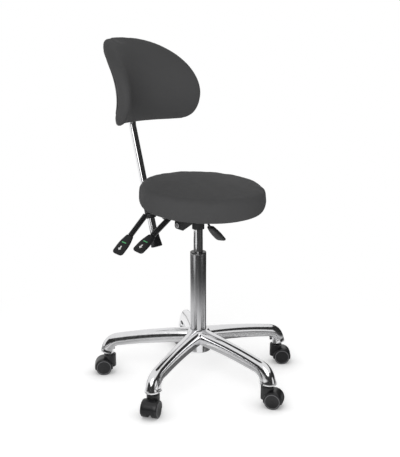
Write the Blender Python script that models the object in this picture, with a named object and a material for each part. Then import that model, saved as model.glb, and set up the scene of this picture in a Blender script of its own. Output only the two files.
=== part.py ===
"""Work stool: five-star base on twin-wheel casters, gas lift, tilting seat and half-moon backrest.

Metres and degrees, +Z up. The sitter faces -Y and the sitter's right is -X. The origin lies on the
floor under the middle of the stool's overall box, and the column stands COLUMN_Y from it.
"""

import math

import bmesh
import bpy
from mathutils import Matrix, Vector

# Fits
CLEARANCE = 0.0003
WELD = 1e-6
COLUMN_Y = -0.0134

# Five-star base
ARM_COUNT = 5
FRONT_ARM_ANGLE = -90.0
STEM_CIRCLE = 0.289
ARM_AXIS_HEIGHT = 0.171
ARM_BEND_ANGLE = 79.0
NOSE_RADIUS = 0.063
NOSE_REACH = 0.026
RIM_HEIGHT = 0.073
ARM_ROOT = 0.029
ARM_ROOT_HALF = 0.024
ARM_WAIST_HALF = 0.0165
ARM_BEND_HALF = 0.0185
ARM_NOSE_HALF = 0.0212
ARM_ROOT_DEPTH = 0.041
ARM_BEND_DEPTH = 0.034
ARM_RIM_DEPTH = 0.050
ARM_WALL = 0.0045
ARM_CROWN = 0.002
ARM_EDGE = 0.006
HUB_RADIUS = 0.040
HUB_LIP_RADIUS = 0.030
HUB_TOP = 0.170
HUB_SHOULDER = 0.158
HUB_BOTTOM = 0.0985
SOCKET_BOSS_RADIUS = 0.0125
SOCKET_BOSS_BOTTOM = 0.0685
SOCKET_BOSS_TOP = 0.112

# Gas lift
COLUMN_RADIUS = 0.025
COLUMN_FOOT_RADIUS = 0.0235
COLUMN_TOP = 0.4165
COLUMN_BOTTOM = 0.104
COLUMN_WALL = 0.002
COLUMN_RIM_ROUND = 0.0008
COLUMN_FLOOR = 0.004
BUSH_LENGTH = 0.045
BUSH_RECESS = 0.0015
PRESSURE_RADIUS = 0.0143
PRESSURE_TIP_RADIUS = 0.0136
PRESSURE_WALL = 0.0016
PRESSURE_END = 0.005
PRESSURE_BOTTOM = 0.200
ROD_RADIUS = 0.005
ROD_GROOVE_RADIUS = 0.0041
ROD_TAIL = 0.0045
PISTON_TOP = 0.360
PISTON_LENGTH = 0.012
SHOULDER_RADIUS = 0.010
SHOULDER_LENGTH = 0.004
BEARING_RADIUS = 0.0125
BEARING_HEIGHT = 0.006
CLIP_RADIUS = 0.0105
CLIP_THICKNESS = 0.0015
VALVE_RADIUS = 0.0032
VALVE_FOOT_RADIUS = 0.006
VALVE_FOOT_HEIGHT = 0.004

# Casters
CASTER_TRAIL = 0.020
CASTER_TRAIL_ANGLES = (-61.0, -46.0, 80.0, 140.0, 208.0)
WHEEL_RADIUS = 0.025
WHEEL_WIDTH = 0.019
WHEEL_ROUND = 0.003
WHEEL_DISH = 0.001
WHEEL_DISH_RADIUS = 0.0195
WHEEL_FACE = 0.0015
WEB_THICKNESS = 0.011
WHEEL_GAP = 0.0008
HOOD_GAP = 0.0015
HOOD_WALL = 0.003
HOOD_LOW_ANGLE = -14.0
HOOD_HIGH_ANGLE = 192.0
AXLE_RADIUS = 0.004
AXLE_BOSS_RADIUS = 0.009
NECK_RADIUS = 0.0195
NECK_TOP = 0.0655
STEM_RADIUS = 0.0055
STEM_FLANGE_RADIUS = 0.010
STEM_TOP = 0.098
STEM_FOOT = 0.048

# Mechanism under the seat
SOCKET_RADIUS = 0.019
SOCKET_BOTTOM = 0.493
WEB_TOP = 0.536
STEEL = 0.003
HOUSING_HALF = 0.034
HOUSING_FRONT = -0.046
HOUSING_BACK = 0.166
HOUSING_CORNER = 0.012
FLANGE_DEPTH = 0.0105
SEAT_PIVOT_Y = 0.050
SEAT_PIVOT_Z = 0.501
PIVOT_LOBE = 0.012
PIN_RADIUS = 0.005
PIN_HEAD_RADIUS = 0.0075
PIN_HEAD = 0.004
BACK_PIVOT_Y = 0.118
BACK_PIVOT_Z = 0.5185
LEVER_ROD_RADIUS = 0.0035
LEVER_BEND_RADIUS = 0.007
TRUNNION_RADIUS = 0.003
LUG_SPACING = 0.010
LUG_RADIUS = 0.006

# Levers: each pivots on a trunnion held by two lugs of the housing
GAS_PIVOT = (0.016, -0.024, 0.5450)
GAS_ELBOW = (0.021, 0.5045)
GAS_DROP = 45.0
GAS_PADDLE_START = 0.010
SEAT_LEVER_PIVOT = (-0.024, 0.085, 0.5255)
SEAT_LEVER_ELBOW = (-0.037, 0.5205)
SEAT_LEVER_DROP = 31.0
BACK_LEVER_PIVOT = (-0.024, 0.150, 0.5265)
BACK_LEVER_ELBOW = (-0.077, 0.5265)
BACK_LEVER_DROP = 40.0
SLEEVE_START = 0.005
SLEEVE_LENGTH = 0.084
SLEEVE_RIBS = 20
SLEEVE_RIDGE_RADIUS = 0.0084
SLEEVE_GROOVE_RADIUS = 0.0066
PADDLE_LENGTH = 0.073
PADDLE_ROOT_HALF = 0.0115
PADDLE_END_HALF = 0.0200
PADDLE_THICKNESS = 0.011
PADDLE_CORNER = 0.009
PADDLE_SWELL_SHARE = 0.6
PADDLE_THINNING = 0.35
PADDLE_EDGE_SHARE = 0.55
PADDLE_TWIST = 14.0
GAS_PADDLE_TWIST = -8.0
PADDLE_SOCKET = 0.020

# Seat
SEAT_TILT = 3.9
SEAT_RADIUS = 0.1945
SEAT_THICKNESS = 0.0675
SEAT_CROWN = 0.008
SEAT_TOP_ROUND = 0.022
SEAT_BOTTOM_ROUND = 0.016
SEAT_DRAW_IN = 0.003
SEAT_CENTRE_Y = -0.0613
SEAT_UNDERSIDE = 0.0670
BOARD_RADIUS = 0.172
BOARD_THICKNESS = 0.012
PLATE_HALF_WIDTH = 0.080
PLATE_HALF_LENGTH = 0.100
PLATE_CORNER = 0.018
EAR_GAP = 0.0015
EAR_REAR = 0.014
EAR_BOTTOM = -0.012
EAR_TOE = -0.022
EAR_SLOPE_Y = -0.064
EAR_SLOPE_Z = 0.0215
EAR_FRONT = -0.092
SCREW_SPREAD_X = 0.062
SCREW_SPREAD_Y = 0.078
SCREW_RADIUS = 0.003
SCREW_HEAD_RADIUS = 0.006
SCREW_HEAD = 0.004
SCREW_BITE = 0.009

# Back arm and bar
BAR_LEAN = 15.9
BAR_WIDTH = 0.023
BAR_DEPTH = 0.016
BAR_ROUND = 0.0055
BAR_ARM_Y = 0.2234
BAR_ARM_Z = 0.5185
BAR_BELOW = 0.0957
BAR_ABOVE = 0.276
BAR_BEND_RADIUS = 0.040
BAR_TOP_LENGTH = 0.120
ARM_HALF = 0.014
ARM_HEIGHT = 0.012
ARM_BOSS = 0.010
ARM_BOSS_START = 40.0
GUIDE_LENGTH = 0.056
GUIDE_WALL = 0.0020
GUIDE_FLANGE = 0.0020
COLLAR_WALL = 0.0025
CAP_LENGTH = 0.0416
CAP_WALL = 0.0020
CAP_END_WIDTH = 0.040
CAP_END_DEPTH = 0.019
CAP_POCKET = 0.012

# Backrest pad: s runs across the pad, v runs up it
BACK_HALF_WIDTH = 0.197
BACK_HEIGHT = 0.2695
BACK_WAIST = 0.123
BACK_TOP_POWER = 2.24
BACK_LOW_POWER = 2.89
BACK_CURVE = 0.1512
BACK_THICKNESS = 0.0535
BACK_EDGE_POWER = 5.7
BACK_LEAN = 8.1
BACK_FOOT_Y = 0.2433
BACK_FOOT_Z = 0.7987
BACK_ARCH = 0.0544
BACK_ARCH_POWER = 2.85
BACK_LUMBAR_RADIUS = 0.1825
BACK_FLARE_RADIUS = 0.130
BACK_LUMBAR_V = 0.0934
SHELL_SHARE = 0.80
SHELL_GAP = 0.0006
SHELL_THICKNESS = 0.009
BOSS_HALF_WIDTH = 0.040
BOSS_HEIGHT = 0.060
BOSS_BELOW_BAR_TOP = 0.0019
BOSS_ROUND = 0.008
BACK_PLATE = 0.004
BACK_SCREW_SPREAD = 0.028

# Facets
ROUND = 24
SMALL_ROUND = 10
CORNER_STEPS = 3
WHEEL_FACETS = 18
SLEEVE_FACETS = 8
ROD_FACETS = 8
SCREW_FACETS = 8
SEAT_FACETS = 40
BACK_FACETS = 36
NECK_FACETS = 16
ARM_STEPS = 5
NOSE_STEPS = 5
HOOD_STEPS = 12
LOBE_STEPS = 5
LUG_STEPS = 4
ARM_BOSS_STEPS = 10
BEND_STEPS = 3
BAR_BEND_STEPS = 5
STRAIGHT_ENOUGH = math.radians(1.0)
PADDLE_EDGE_STEPS = 2
PADDLE_STATIONS = (0.0, 0.12, 0.35, 0.6, 0.8, 0.93, 1.0)
SEAT_CROWN_STEPS = 4
SEAT_ROUND_STEPS = 5
PAD_OUTER_SHARES = (0.25, 0.55, 0.78, 0.9, 0.965, 0.993)
PAD_INNER_SHARES = (0.55, 0.25)
PAD_SEARCH_STEPS = 8

SMOOTH_ANGLE = math.radians(35.0)


def finish(name, colour, roughness, metallic):
    made = bpy.data.materials.new(name)
    made.use_nodes = True
    shader = made.node_tree.nodes["Principled BSDF"]
    shader.inputs["Base Color"].default_value = (*colour, 1.0)
    shader.inputs["Roughness"].default_value = roughness
    shader.inputs["Metallic"].default_value = metallic
    made.diffuse_color = (*colour, 1.0)
    return made


# Meshes

def mesh_of(name, bm):
    bmesh.ops.remove_doubles(bm, verts=bm.verts, dist=WELD)
    bmesh.ops.recalc_face_normals(bm, faces=bm.faces)
    mesh = bpy.data.meshes.new(name)
    bm.to_mesh(mesh)
    bm.free()
    return mesh


def turned(name, profile, segments):
    """(radius, height) points turned about Z; a profile clear of the axis is closed into a ring."""
    bm = bmesh.new()
    points = [bm.verts.new((radius, 0.0, height)) for radius, height in profile]
    pairs = list(zip(points, points[1:]))
    if profile[0][0] > 0.0:
        pairs.append((points[-1], points[0]))
    edges = [bm.edges.new(pair) for pair in pairs]
    bmesh.ops.spin(
        bm, geom=points + edges, cent=(0, 0, 0), axis=(0, 0, 1),
        angle=math.tau, steps=segments, use_merge=True,
    )
    return mesh_of(name, bm)


def lofted(name, rings):
    """Each ring of points joined to the next, with the first and the last filled."""
    bm = bmesh.new()
    loops = [[bm.verts.new(point) for point in ring] for ring in rings]
    for near, far in zip(loops, loops[1:]):
        for i in range(len(near)):
            j = (i + 1) % len(near)
            bm.faces.new((near[i], near[j], far[j], far[i]))
    bm.faces.new(loops[0])
    bm.faces.new(loops[-1])
    return mesh_of(name, bm)


def prism(name, outline, low, high, axis="Z"):
    """An outline carried along an axis. Across X it is (y, z), across Y (x, z), across Z (x, y)."""
    place = {
        "X": lambda u, v, w: (w, u, v),
        "Y": lambda u, v, w: (u, w, v),
        "Z": lambda u, v, w: (u, v, w),
    }[axis]
    return lofted(name, [[place(u, v, w) for u, v in outline] for w in (low, high)])


def rod(name, radius, low, high, axis="Z", segments=SMALL_ROUND):
    return prism(name, circle(radius, segments), low, high, axis)


def gathered(name, parts):
    """Meshes that don't touch each other, each moved by its matrix, in one mesh."""
    bm = bmesh.new()
    for mesh, matrix in parts:
        copy = moved(mesh.copy(), matrix)
        bm.from_mesh(copy)
        bpy.data.meshes.remove(copy)
    mesh = bpy.data.meshes.new(name)
    bm.to_mesh(mesh)
    bm.free()
    return mesh


def moved(mesh, matrix):
    mesh.transform(matrix)
    return mesh


# Outlines

def arc(u, v, radius, start, end, steps):
    angles = [math.radians(start + (end - start) * i / steps) for i in range(steps + 1)]
    return [(u + radius * math.cos(a), v + radius * math.sin(a)) for a in angles]


def circle(radius, segments, u=0.0, v=0.0):
    return arc(u, v, radius, 0.0, 360.0, segments)[:-1]


def rounded(half_u, half_v, radius, u=0.0, v=0.0, steps=CORNER_STEPS):
    outline = []
    for start, side_u, side_v in ((0, 1, 1), (90, -1, 1), (180, -1, -1), (270, 1, -1)):
        centre_u = u + side_u * (half_u - radius)
        centre_v = v + side_v * (half_v - radius)
        outline += arc(centre_u, centre_v, radius, start, start + 90, steps)
    return outline


# Objects

def add(name, mesh, material, parent, matrix=Matrix()):
    mesh.materials.clear()
    mesh.materials.append(material)
    mesh.shade_smooth()
    mesh.set_sharp_from_angle(angle=SMOOTH_ANGLE)
    obj = bpy.data.objects.new(name, mesh)
    bpy.context.scene.collection.objects.link(obj)
    obj.parent = parent
    obj.matrix_local = matrix
    return obj


def combine(obj, operation, mesh):
    helper = bpy.data.objects.new(mesh.name, mesh)
    bpy.context.scene.collection.objects.link(helper)
    helper.parent = obj
    helper.hide_render = True
    helper.display_type = "WIRE"
    modifier = obj.modifiers.new(mesh.name, "BOOLEAN")
    modifier.operation = operation
    modifier.solver = "EXACT"
    modifier.object = helper


def join(obj, mesh):
    combine(obj, "UNION", mesh)


def cut(obj, mesh):
    combine(obj, "DIFFERENCE", mesh)


def axis_empty(name, parent, location, turn=0.0, about="X"):
    empty = bpy.data.objects.new(name, None)
    bpy.context.scene.collection.objects.link(empty)
    empty.parent = parent
    spin = Matrix.Rotation(math.radians(turn), 4, about)
    empty.matrix_local = Matrix.Translation(location) @ spin
    return empty


# Five-star base

def arm_section(half, depth):
    """The inverted U of an arm as (sideways, inward) points."""
    inner = half - ARM_WALL
    roof = ARM_WALL + ARM_CROWN
    return [
        (-half, depth), (-half, ARM_EDGE), (ARM_EDGE - half, 0.0), (0.0, -ARM_CROWN),
        (half - ARM_EDGE, 0.0), (half, ARM_EDGE), (half, depth),
        (inner, depth), (inner - ARM_CROWN, roof), (ARM_CROWN - inner, roof), (-inner, depth),
    ]


def arm_rings():
    """A gently falling arm whose end turns down on an arc to the caster socket."""
    nose_r = STEM_CIRCLE + NOSE_REACH - NOSE_RADIUS
    bend = math.radians(ARM_BEND_ANGLE)
    bend_r = nose_r + NOSE_RADIUS * math.cos(bend)
    bend_z = RIM_HEIGHT + NOSE_RADIUS * math.sin(bend)
    slope = -1.0 / math.tan(bend)
    sag = (ARM_AXIS_HEIGHT - bend_z + slope * bend_r) / bend_r**2
    stations = []
    for i in range(ARM_STEPS):
        u = i / ARM_STEPS
        r = ARM_ROOT + (bend_r - ARM_ROOT) * u
        fall = slope + 2.0 * sag * (r - bend_r)
        z = bend_z + slope * (r - bend_r) + sag * (r - bend_r) ** 2
        inward = Vector((fall, -1.0)).normalized()
        half = ARM_WAIST_HALF + (ARM_ROOT_HALF - ARM_WAIST_HALF) * (1.0 - u) ** 2
        half += (ARM_BEND_HALF - ARM_WAIST_HALF) * u**2
        depth = ARM_ROOT_DEPTH + (ARM_BEND_DEPTH - ARM_ROOT_DEPTH) * u
        stations.append((r, z, inward, half, depth))
    for i in range(NOSE_STEPS + 1):
        u = i / NOSE_STEPS
        angle = bend * (1.0 - u)
        outward = Vector((math.cos(angle), math.sin(angle)))
        half = ARM_BEND_HALF + (ARM_NOSE_HALF - ARM_BEND_HALF) * u
        depth = ARM_BEND_DEPTH + (ARM_RIM_DEPTH - ARM_BEND_DEPTH) * u
        r = nose_r + NOSE_RADIUS * outward.x
        z = RIM_HEIGHT + NOSE_RADIUS * outward.y
        stations.append((r, z, -outward, half, depth))
    return [
        [(r + d * inward.x, side, z + d * inward.y) for side, d in arm_section(half, depth)]
        for r, z, inward, half, depth in stations
    ]


def arm_turn(index):
    return Matrix.Rotation(math.radians(FRONT_ARM_ANGLE + 360.0 / ARM_COUNT * index), 4, "Z")


def make_star_base(parent, aluminium):
    hub = turned("hub", [
        (0.0, HUB_TOP), (HUB_LIP_RADIUS, HUB_TOP), (HUB_RADIUS, HUB_SHOULDER),
        (HUB_RADIUS, HUB_BOTTOM + ARM_EDGE), (HUB_RADIUS - ARM_EDGE, HUB_BOTTOM), (0.0, HUB_BOTTOM),
    ], ROUND)
    star = add("star_base", hub, aluminium, parent)
    for index in range(ARM_COUNT):
        join(star, moved(lofted(f"arm_{index + 1}", arm_rings()), arm_turn(index)))
    stem_place = [arm_turn(i) @ Matrix.Translation((STEM_CIRCLE, 0, 0)) for i in range(ARM_COUNT)]
    boss = rod("boss", SOCKET_BOSS_RADIUS, SOCKET_BOSS_BOTTOM, SOCKET_BOSS_TOP)
    join(star, gathered("socket_bosses", [(boss, place) for place in stem_place]))
    bore = rod("bore", STEM_RADIUS + CLEARANCE, SOCKET_BOSS_BOTTOM - STEEL, STEM_TOP + CLEARANCE)
    cut(star, gathered("stem_bores", [(bore, place) for place in stem_place]))
    below, above = HUB_BOTTOM - STEEL, HUB_TOP + STEEL
    cut(star, turned("column_bore", [
        (0.0, above), (COLUMN_RADIUS + CLEARANCE, above), (COLUMN_RADIUS + CLEARANCE, HUB_TOP),
        (COLUMN_FOOT_RADIUS + CLEARANCE, COLUMN_BOTTOM), (COLUMN_FOOT_RADIUS + CLEARANCE, below),
        (0.0, below),
    ], ROUND))


# Gas lift

def floor_top():
    return COLUMN_BOTTOM + COLUMN_FLOOR


def shoulder_bottom():
    return floor_top() + BEARING_HEIGHT + 2.0 * CLEARANCE


def pressure_top():
    return WEB_TOP - STEEL


def valve_top():
    return GAS_PIVOT[2] - LEVER_ROD_RADIUS - CLEARANCE


def make_gas_lift(base, piston, carrier, valve, steel, chrome, black, column_finish):
    inner = COLUMN_RADIUS - COLUMN_WALL
    foot_inner = COLUMN_FOOT_RADIUS - COLUMN_WALL
    hole = ROD_RADIUS + CLEARANCE
    rim = COLUMN_TOP - COLUMN_RIM_ROUND
    add("column_tube", turned("column_tube", [
        (inner, rim), (inner + COLUMN_RIM_ROUND, COLUMN_TOP),
        (COLUMN_RADIUS - COLUMN_RIM_ROUND, COLUMN_TOP), (COLUMN_RADIUS, rim),
        (COLUMN_RADIUS, HUB_TOP), (COLUMN_FOOT_RADIUS, COLUMN_BOTTOM),
        (hole, COLUMN_BOTTOM), (hole, floor_top()), (foot_inner, floor_top()), (inner, HUB_TOP),
    ], ROUND), column_finish, base)
    bush_top = COLUMN_TOP - BUSH_RECESS
    bush_bottom = bush_top - BUSH_LENGTH
    bush_bore, bush_radius = PRESSURE_RADIUS + CLEARANCE, inner - CLEARANCE
    add("guide_bush", turned("guide_bush", [
        (bush_bore, bush_top), (bush_radius, bush_top), (bush_radius, bush_bottom), (bush_bore, bush_bottom),
    ], ROUND), black, base)
    bearing_bottom = floor_top() + CLEARANCE
    add("thrust_bearing", turned("thrust_bearing", [
        (hole, bearing_bottom + BEARING_HEIGHT), (BEARING_RADIUS, bearing_bottom + BEARING_HEIGHT),
        (BEARING_RADIUS, bearing_bottom), (hole, bearing_bottom),
    ], SMALL_ROUND), steel, base)
    bore = PRESSURE_RADIUS - PRESSURE_WALL
    groove_top = COLUMN_BOTTOM
    groove_bottom = groove_top - CLIP_THICKNESS - 2.0 * CLEARANCE
    low = shoulder_bottom()
    piston_bottom, rod_end = PISTON_TOP - PISTON_LENGTH, COLUMN_BOTTOM - ROD_TAIL
    add("piston_rod", turned("piston_rod", [
        (0.0, PISTON_TOP), (bore - CLEARANCE, PISTON_TOP), (bore - CLEARANCE, piston_bottom),
        (ROD_RADIUS, piston_bottom), (ROD_RADIUS, low + SHOULDER_LENGTH),
        (SHOULDER_RADIUS, low + SHOULDER_LENGTH), (SHOULDER_RADIUS, low), (ROD_RADIUS, low),
        (ROD_RADIUS, groove_top), (ROD_GROOVE_RADIUS, groove_top), (ROD_GROOVE_RADIUS, groove_bottom),
        (ROD_RADIUS, groove_bottom), (ROD_RADIUS, rod_end), (0.0, rod_end),
    ], SMALL_ROUND), steel, piston)
    clip_top = COLUMN_BOTTOM - CLEARANCE
    clip_hole = ROD_GROOVE_RADIUS + CLEARANCE
    add("retaining_clip", turned("retaining_clip", [
        (clip_hole, clip_top), (CLIP_RADIUS, clip_top),
        (CLIP_RADIUS, clip_top - CLIP_THICKNESS), (clip_hole, clip_top - CLIP_THICKNESS),
    ], SMALL_ROUND), steel, piston)
    tip_bore = PRESSURE_TIP_RADIUS - PRESSURE_WALL
    valve_hole = VALVE_RADIUS + CLEARANCE
    top, bottom = pressure_top(), PRESSURE_BOTTOM
    add("pressure_tube", turned("pressure_tube", [
        (valve_hole, top), (PRESSURE_TIP_RADIUS, top), (PRESSURE_RADIUS, SOCKET_BOTTOM),
        (PRESSURE_RADIUS, bottom), (hole, bottom), (hole, bottom + PRESSURE_END),
        (bore, bottom + PRESSURE_END), (bore, SOCKET_BOTTOM), (tip_bore, top - PRESSURE_END),
        (valve_hole, top - PRESSURE_END),
    ], ROUND), chrome, carrier)
    foot = top - PRESSURE_END - CLEARANCE
    add("gas_release_pin", turned("gas_release_pin", [
        (0.0, valve_top()), (VALVE_RADIUS, valve_top()), (VALVE_RADIUS, foot), (VALVE_FOOT_RADIUS, foot),
        (VALVE_FOOT_RADIUS, foot - VALVE_FOOT_HEIGHT), (0.0, foot - VALVE_FOOT_HEIGHT),
    ], SMALL_ROUND), steel, valve, Matrix.Translation((0, 0, -valve_top())))


# Casters

def wheel_inner():
    return WEB_THICKNESS / 2.0 + WHEEL_GAP


def wheel_outer():
    return wheel_inner() + WHEEL_WIDTH


def wheel_mesh(name):
    """A wheel on the +Y side, its axle bore closed by the outer face, turned about Y."""
    face = wheel_outer()
    bore_end = face - WHEEL_DISH - WHEEL_FACE
    profile = [
        (0.0, face - WHEEL_DISH), (WHEEL_DISH_RADIUS - WHEEL_DISH, face - WHEEL_DISH),
        (WHEEL_DISH_RADIUS, face), (WHEEL_RADIUS - WHEEL_ROUND, face), (WHEEL_RADIUS, face - WHEEL_ROUND),
        (WHEEL_RADIUS, wheel_inner()),
        (AXLE_RADIUS + CLEARANCE, wheel_inner()), (AXLE_RADIUS + CLEARANCE, bore_end), (0.0, bore_end),
    ]
    return moved(turned(name, profile, WHEEL_FACETS), Matrix.Rotation(math.radians(-90.0), 4, "X"))


def make_housing(name, swivel, black):
    """A hood over both wheels with a middle web, and the neck that turns on the stem."""
    hood_radius = WHEEL_RADIUS + HOOD_GAP + HOOD_WALL
    half_width = wheel_outer()
    outline = arc(CASTER_TRAIL, WHEEL_RADIUS, hood_radius, HOOD_LOW_ANGLE, HOOD_HIGH_ANGLE, HOOD_STEPS)
    below_from, below_to = HOOD_HIGH_ANGLE, 360.0 + HOOD_LOW_ANGLE
    outline += arc(CASTER_TRAIL, WHEEL_RADIUS, AXLE_BOSS_RADIUS, below_from, below_to, LUG_STEPS)
    housing = add(name, prism(name, outline, -half_width, half_width, "Y"), black, swivel)
    join(housing, rod(f"{name}_neck", NECK_RADIUS, WHEEL_RADIUS, NECK_TOP, segments=NECK_FACETS))
    axle_line = Matrix.Translation((CASTER_TRAIL, 0, WHEEL_RADIUS))
    pocket = WHEEL_RADIUS + HOOD_GAP
    web, past = WEB_THICKNESS / 2.0, half_width + HOOD_WALL
    cut(housing, gathered(f"{name}_pockets", [
        (rod("pocket", pocket, web, past, "Y", WHEEL_FACETS), axle_line),
        (rod("pocket", pocket, -past, -web, "Y", WHEEL_FACETS), axle_line),
    ]))
    axle_hole = rod(f"{name}_axle_hole", AXLE_RADIUS + CLEARANCE, -web - STEEL, web + STEEL, "Y")
    cut(housing, moved(axle_hole, axle_line))
    stem_hole = STEM_RADIUS + CLEARANCE
    cut(housing, rod(f"{name}_stem_hole", stem_hole, STEM_FOOT - CLEARANCE, NECK_TOP + STEEL))


def make_casters(base, black, tread, steel):
    for index, trail_angle in enumerate(CASTER_TRAIL_ANGLES):
        name = f"caster_{index + 1}"
        arm = math.radians(FRONT_ARM_ANGLE + 360.0 / ARM_COUNT * index)
        place = (STEM_CIRCLE * math.cos(arm), STEM_CIRCLE * math.sin(arm), 0.0)
        flange = NECK_TOP + CLEARANCE
        stem = turned(f"{name}_stem", [
            (0.0, STEM_TOP), (STEM_RADIUS, STEM_TOP), (STEM_RADIUS, SOCKET_BOSS_BOTTOM - CLEARANCE),
            (STEM_FLANGE_RADIUS, SOCKET_BOSS_BOTTOM - CLEARANCE), (STEM_FLANGE_RADIUS, flange),
            (STEM_RADIUS, flange), (STEM_RADIUS, STEM_FOOT), (0.0, STEM_FOOT),
        ], SMALL_ROUND)
        add(f"{name}_stem", stem, steel, base, Matrix.Translation(place))
        swivel = axis_empty(f"{name}_swivel", base, place, trail_angle, "Z")
        make_housing(f"{name}_housing", swivel, black)
        axle_line = Matrix.Translation((CASTER_TRAIL, 0, WHEEL_RADIUS))
        reach = wheel_outer() - WHEEL_DISH - WHEEL_FACE - CLEARANCE
        add(f"{name}_axle", rod(f"{name}_axle", AXLE_RADIUS, -reach, reach, "Y"), steel, swivel, axle_line)
        add(f"{name}_wheel_left", wheel_mesh(f"{name}_wheel_left"), tread, swivel, axle_line)
        half_turn = axle_line @ Matrix.Rotation(math.pi, 4, "Z")
        add(f"{name}_wheel_right", wheel_mesh(f"{name}_wheel_right"), tread, swivel, half_turn)


# Mechanism

def side_outline():
    """A housing side in (y, z): a flange along the web with a lobe at each pivot."""
    top, low = WEB_TOP - STEEL / 2.0, WEB_TOP - FLANGE_DEPTH
    seat_lobe = arc(SEAT_PIVOT_Y, SEAT_PIVOT_Z, PIVOT_LOBE, 180.0, 360.0, LOBE_STEPS)
    back_lobe = arc(BACK_PIVOT_Y, BACK_PIVOT_Z, PIVOT_LOBE, 180.0, 360.0, LOBE_STEPS)
    outline = [(HOUSING_FRONT + HOUSING_CORNER, top), (HOUSING_FRONT + HOUSING_CORNER, low)]
    outline += [(seat_lobe[0][0], low), *seat_lobe, (seat_lobe[-1][0], low)]
    outline += [(back_lobe[0][0], low), *back_lobe, (back_lobe[-1][0], low)]
    return outline + [(HOUSING_BACK - HOUSING_CORNER, low), (HOUSING_BACK - HOUSING_CORNER, top)]


def lug_pair(name, pivot, root):
    """Two lugs between the web and a lever's trunnion, in front of the rod and behind it."""
    x, y, z = pivot
    half_turn = 180.0 if z > root else -180.0
    tip = arc(x, z, LUG_RADIUS, 0.0, half_turn, LUG_STEPS)
    outline = [(x + LUG_RADIUS, root), *tip, (x - LUG_RADIUS, root)]
    near, far = LUG_SPACING - STEEL, LUG_SPACING
    return gathered(name, [
        (prism("lug", outline, y + near, y + far, "Y"), Matrix()),
        (prism("lug", outline, y - far, y - near, "Y"), Matrix()),
    ])


def make_housing_body(carrier, black_metal):
    half_length = (HOUSING_BACK - HOUSING_FRONT) / 2.0
    middle = (HOUSING_BACK + HOUSING_FRONT) / 2.0
    web_bottom = WEB_TOP - STEEL
    outline = rounded(HOUSING_HALF, half_length, HOUSING_CORNER, v=middle)
    web = prism("mechanism_housing", outline, web_bottom, WEB_TOP)
    housing = add("mechanism_housing", web, black_metal, carrier)
    inside = HOUSING_HALF - STEEL
    join(housing, prism("housing_right_side", side_outline(), -HOUSING_HALF, -inside, "X"))
    join(housing, prism("housing_left_side", side_outline(), inside, HOUSING_HALF, "X"))
    join(housing, rod("lift_socket", SOCKET_RADIUS, SOCKET_BOTTOM, WEB_TOP - STEEL / 2.0, segments=ROUND))
    root_above, root_below = WEB_TOP - STEEL / 2.0, web_bottom + STEEL / 2.0
    join(housing, lug_pair("gas_lever_lugs", GAS_PIVOT, root_above))
    join(housing, lug_pair("seat_lever_lugs", SEAT_LEVER_PIVOT, root_below))
    join(housing, lug_pair("back_lever_lugs", BACK_LEVER_PIVOT, root_below))
    below, bore_top = SOCKET_BOTTOM - STEEL, pressure_top() + CLEARANCE
    cut(housing, turned("lift_bore", [
        (0.0, WEB_TOP + STEEL), (VALVE_FOOT_RADIUS, WEB_TOP + STEEL), (VALVE_FOOT_RADIUS, bore_top),
        (PRESSURE_TIP_RADIUS + CLEARANCE, bore_top), (PRESSURE_RADIUS + CLEARANCE, SOCKET_BOTTOM),
        (PRESSURE_RADIUS + CLEARANCE, below), (0.0, below),
    ], ROUND))
    past = HOUSING_HALF + STEEL
    pin_hole = rod("pin_hole", PIN_RADIUS + CLEARANCE, -past, past, "X")
    cut(housing, gathered("pin_holes", [
        (pin_hole, Matrix.Translation((0, SEAT_PIVOT_Y, SEAT_PIVOT_Z))),
        (pin_hole, Matrix.Translation((0, BACK_PIVOT_Y, BACK_PIVOT_Z))),
    ]))
    reach = LUG_SPACING + STEEL
    trunnion_hole = rod("trunnion_hole", TRUNNION_RADIUS + CLEARANCE, -reach, reach, "Y", ROD_FACETS)
    pivots = (GAS_PIVOT, SEAT_LEVER_PIVOT, BACK_LEVER_PIVOT)
    cut(housing, gathered("trunnion_holes", [(trunnion_hole, Matrix.Translation(p)) for p in pivots]))
    slot_half = LUG_SPACING - STEEL
    slot_middle = GAS_PIVOT[0] + HOUSING_HALF - LUG_RADIUS
    slot = rounded(HOUSING_HALF, slot_half, slot_half / 2.0, u=slot_middle, v=GAS_PIVOT[1])
    cut(housing, prism("gas_lever_slot", slot, SEAT_PIVOT_Z, WEB_TOP + CLEARANCE))
    notch_out, notch_in = -past, CLEARANCE - inside
    notch = [
        (notch_out, SEAT_PIVOT_Z), (notch_in, SEAT_PIVOT_Z), (notch_in, root_below), (notch_out, root_below),
    ]
    cut(housing, gathered("lever_notches", [
        (prism("notch", notch, y - slot_half, y + slot_half, "Y"), Matrix())
        for y in (SEAT_LEVER_PIVOT[1], BACK_LEVER_PIVOT[1])
    ]))


def pin_mesh(name, half_span):
    """A cross pin with a head at the sitter's right and a riveted end at the left."""
    profile = [
        (0.0, half_span), (PIN_RADIUS, half_span), (PIN_RADIUS, -half_span),
        (PIN_HEAD_RADIUS, -half_span), (PIN_HEAD_RADIUS, CLEARANCE - half_span - PIN_HEAD),
        (0.0, -half_span - PIN_HEAD),
    ]
    return moved(turned(name, profile, SMALL_ROUND), Matrix.Rotation(math.radians(90.0), 4, "Y"))


# Levers

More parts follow.
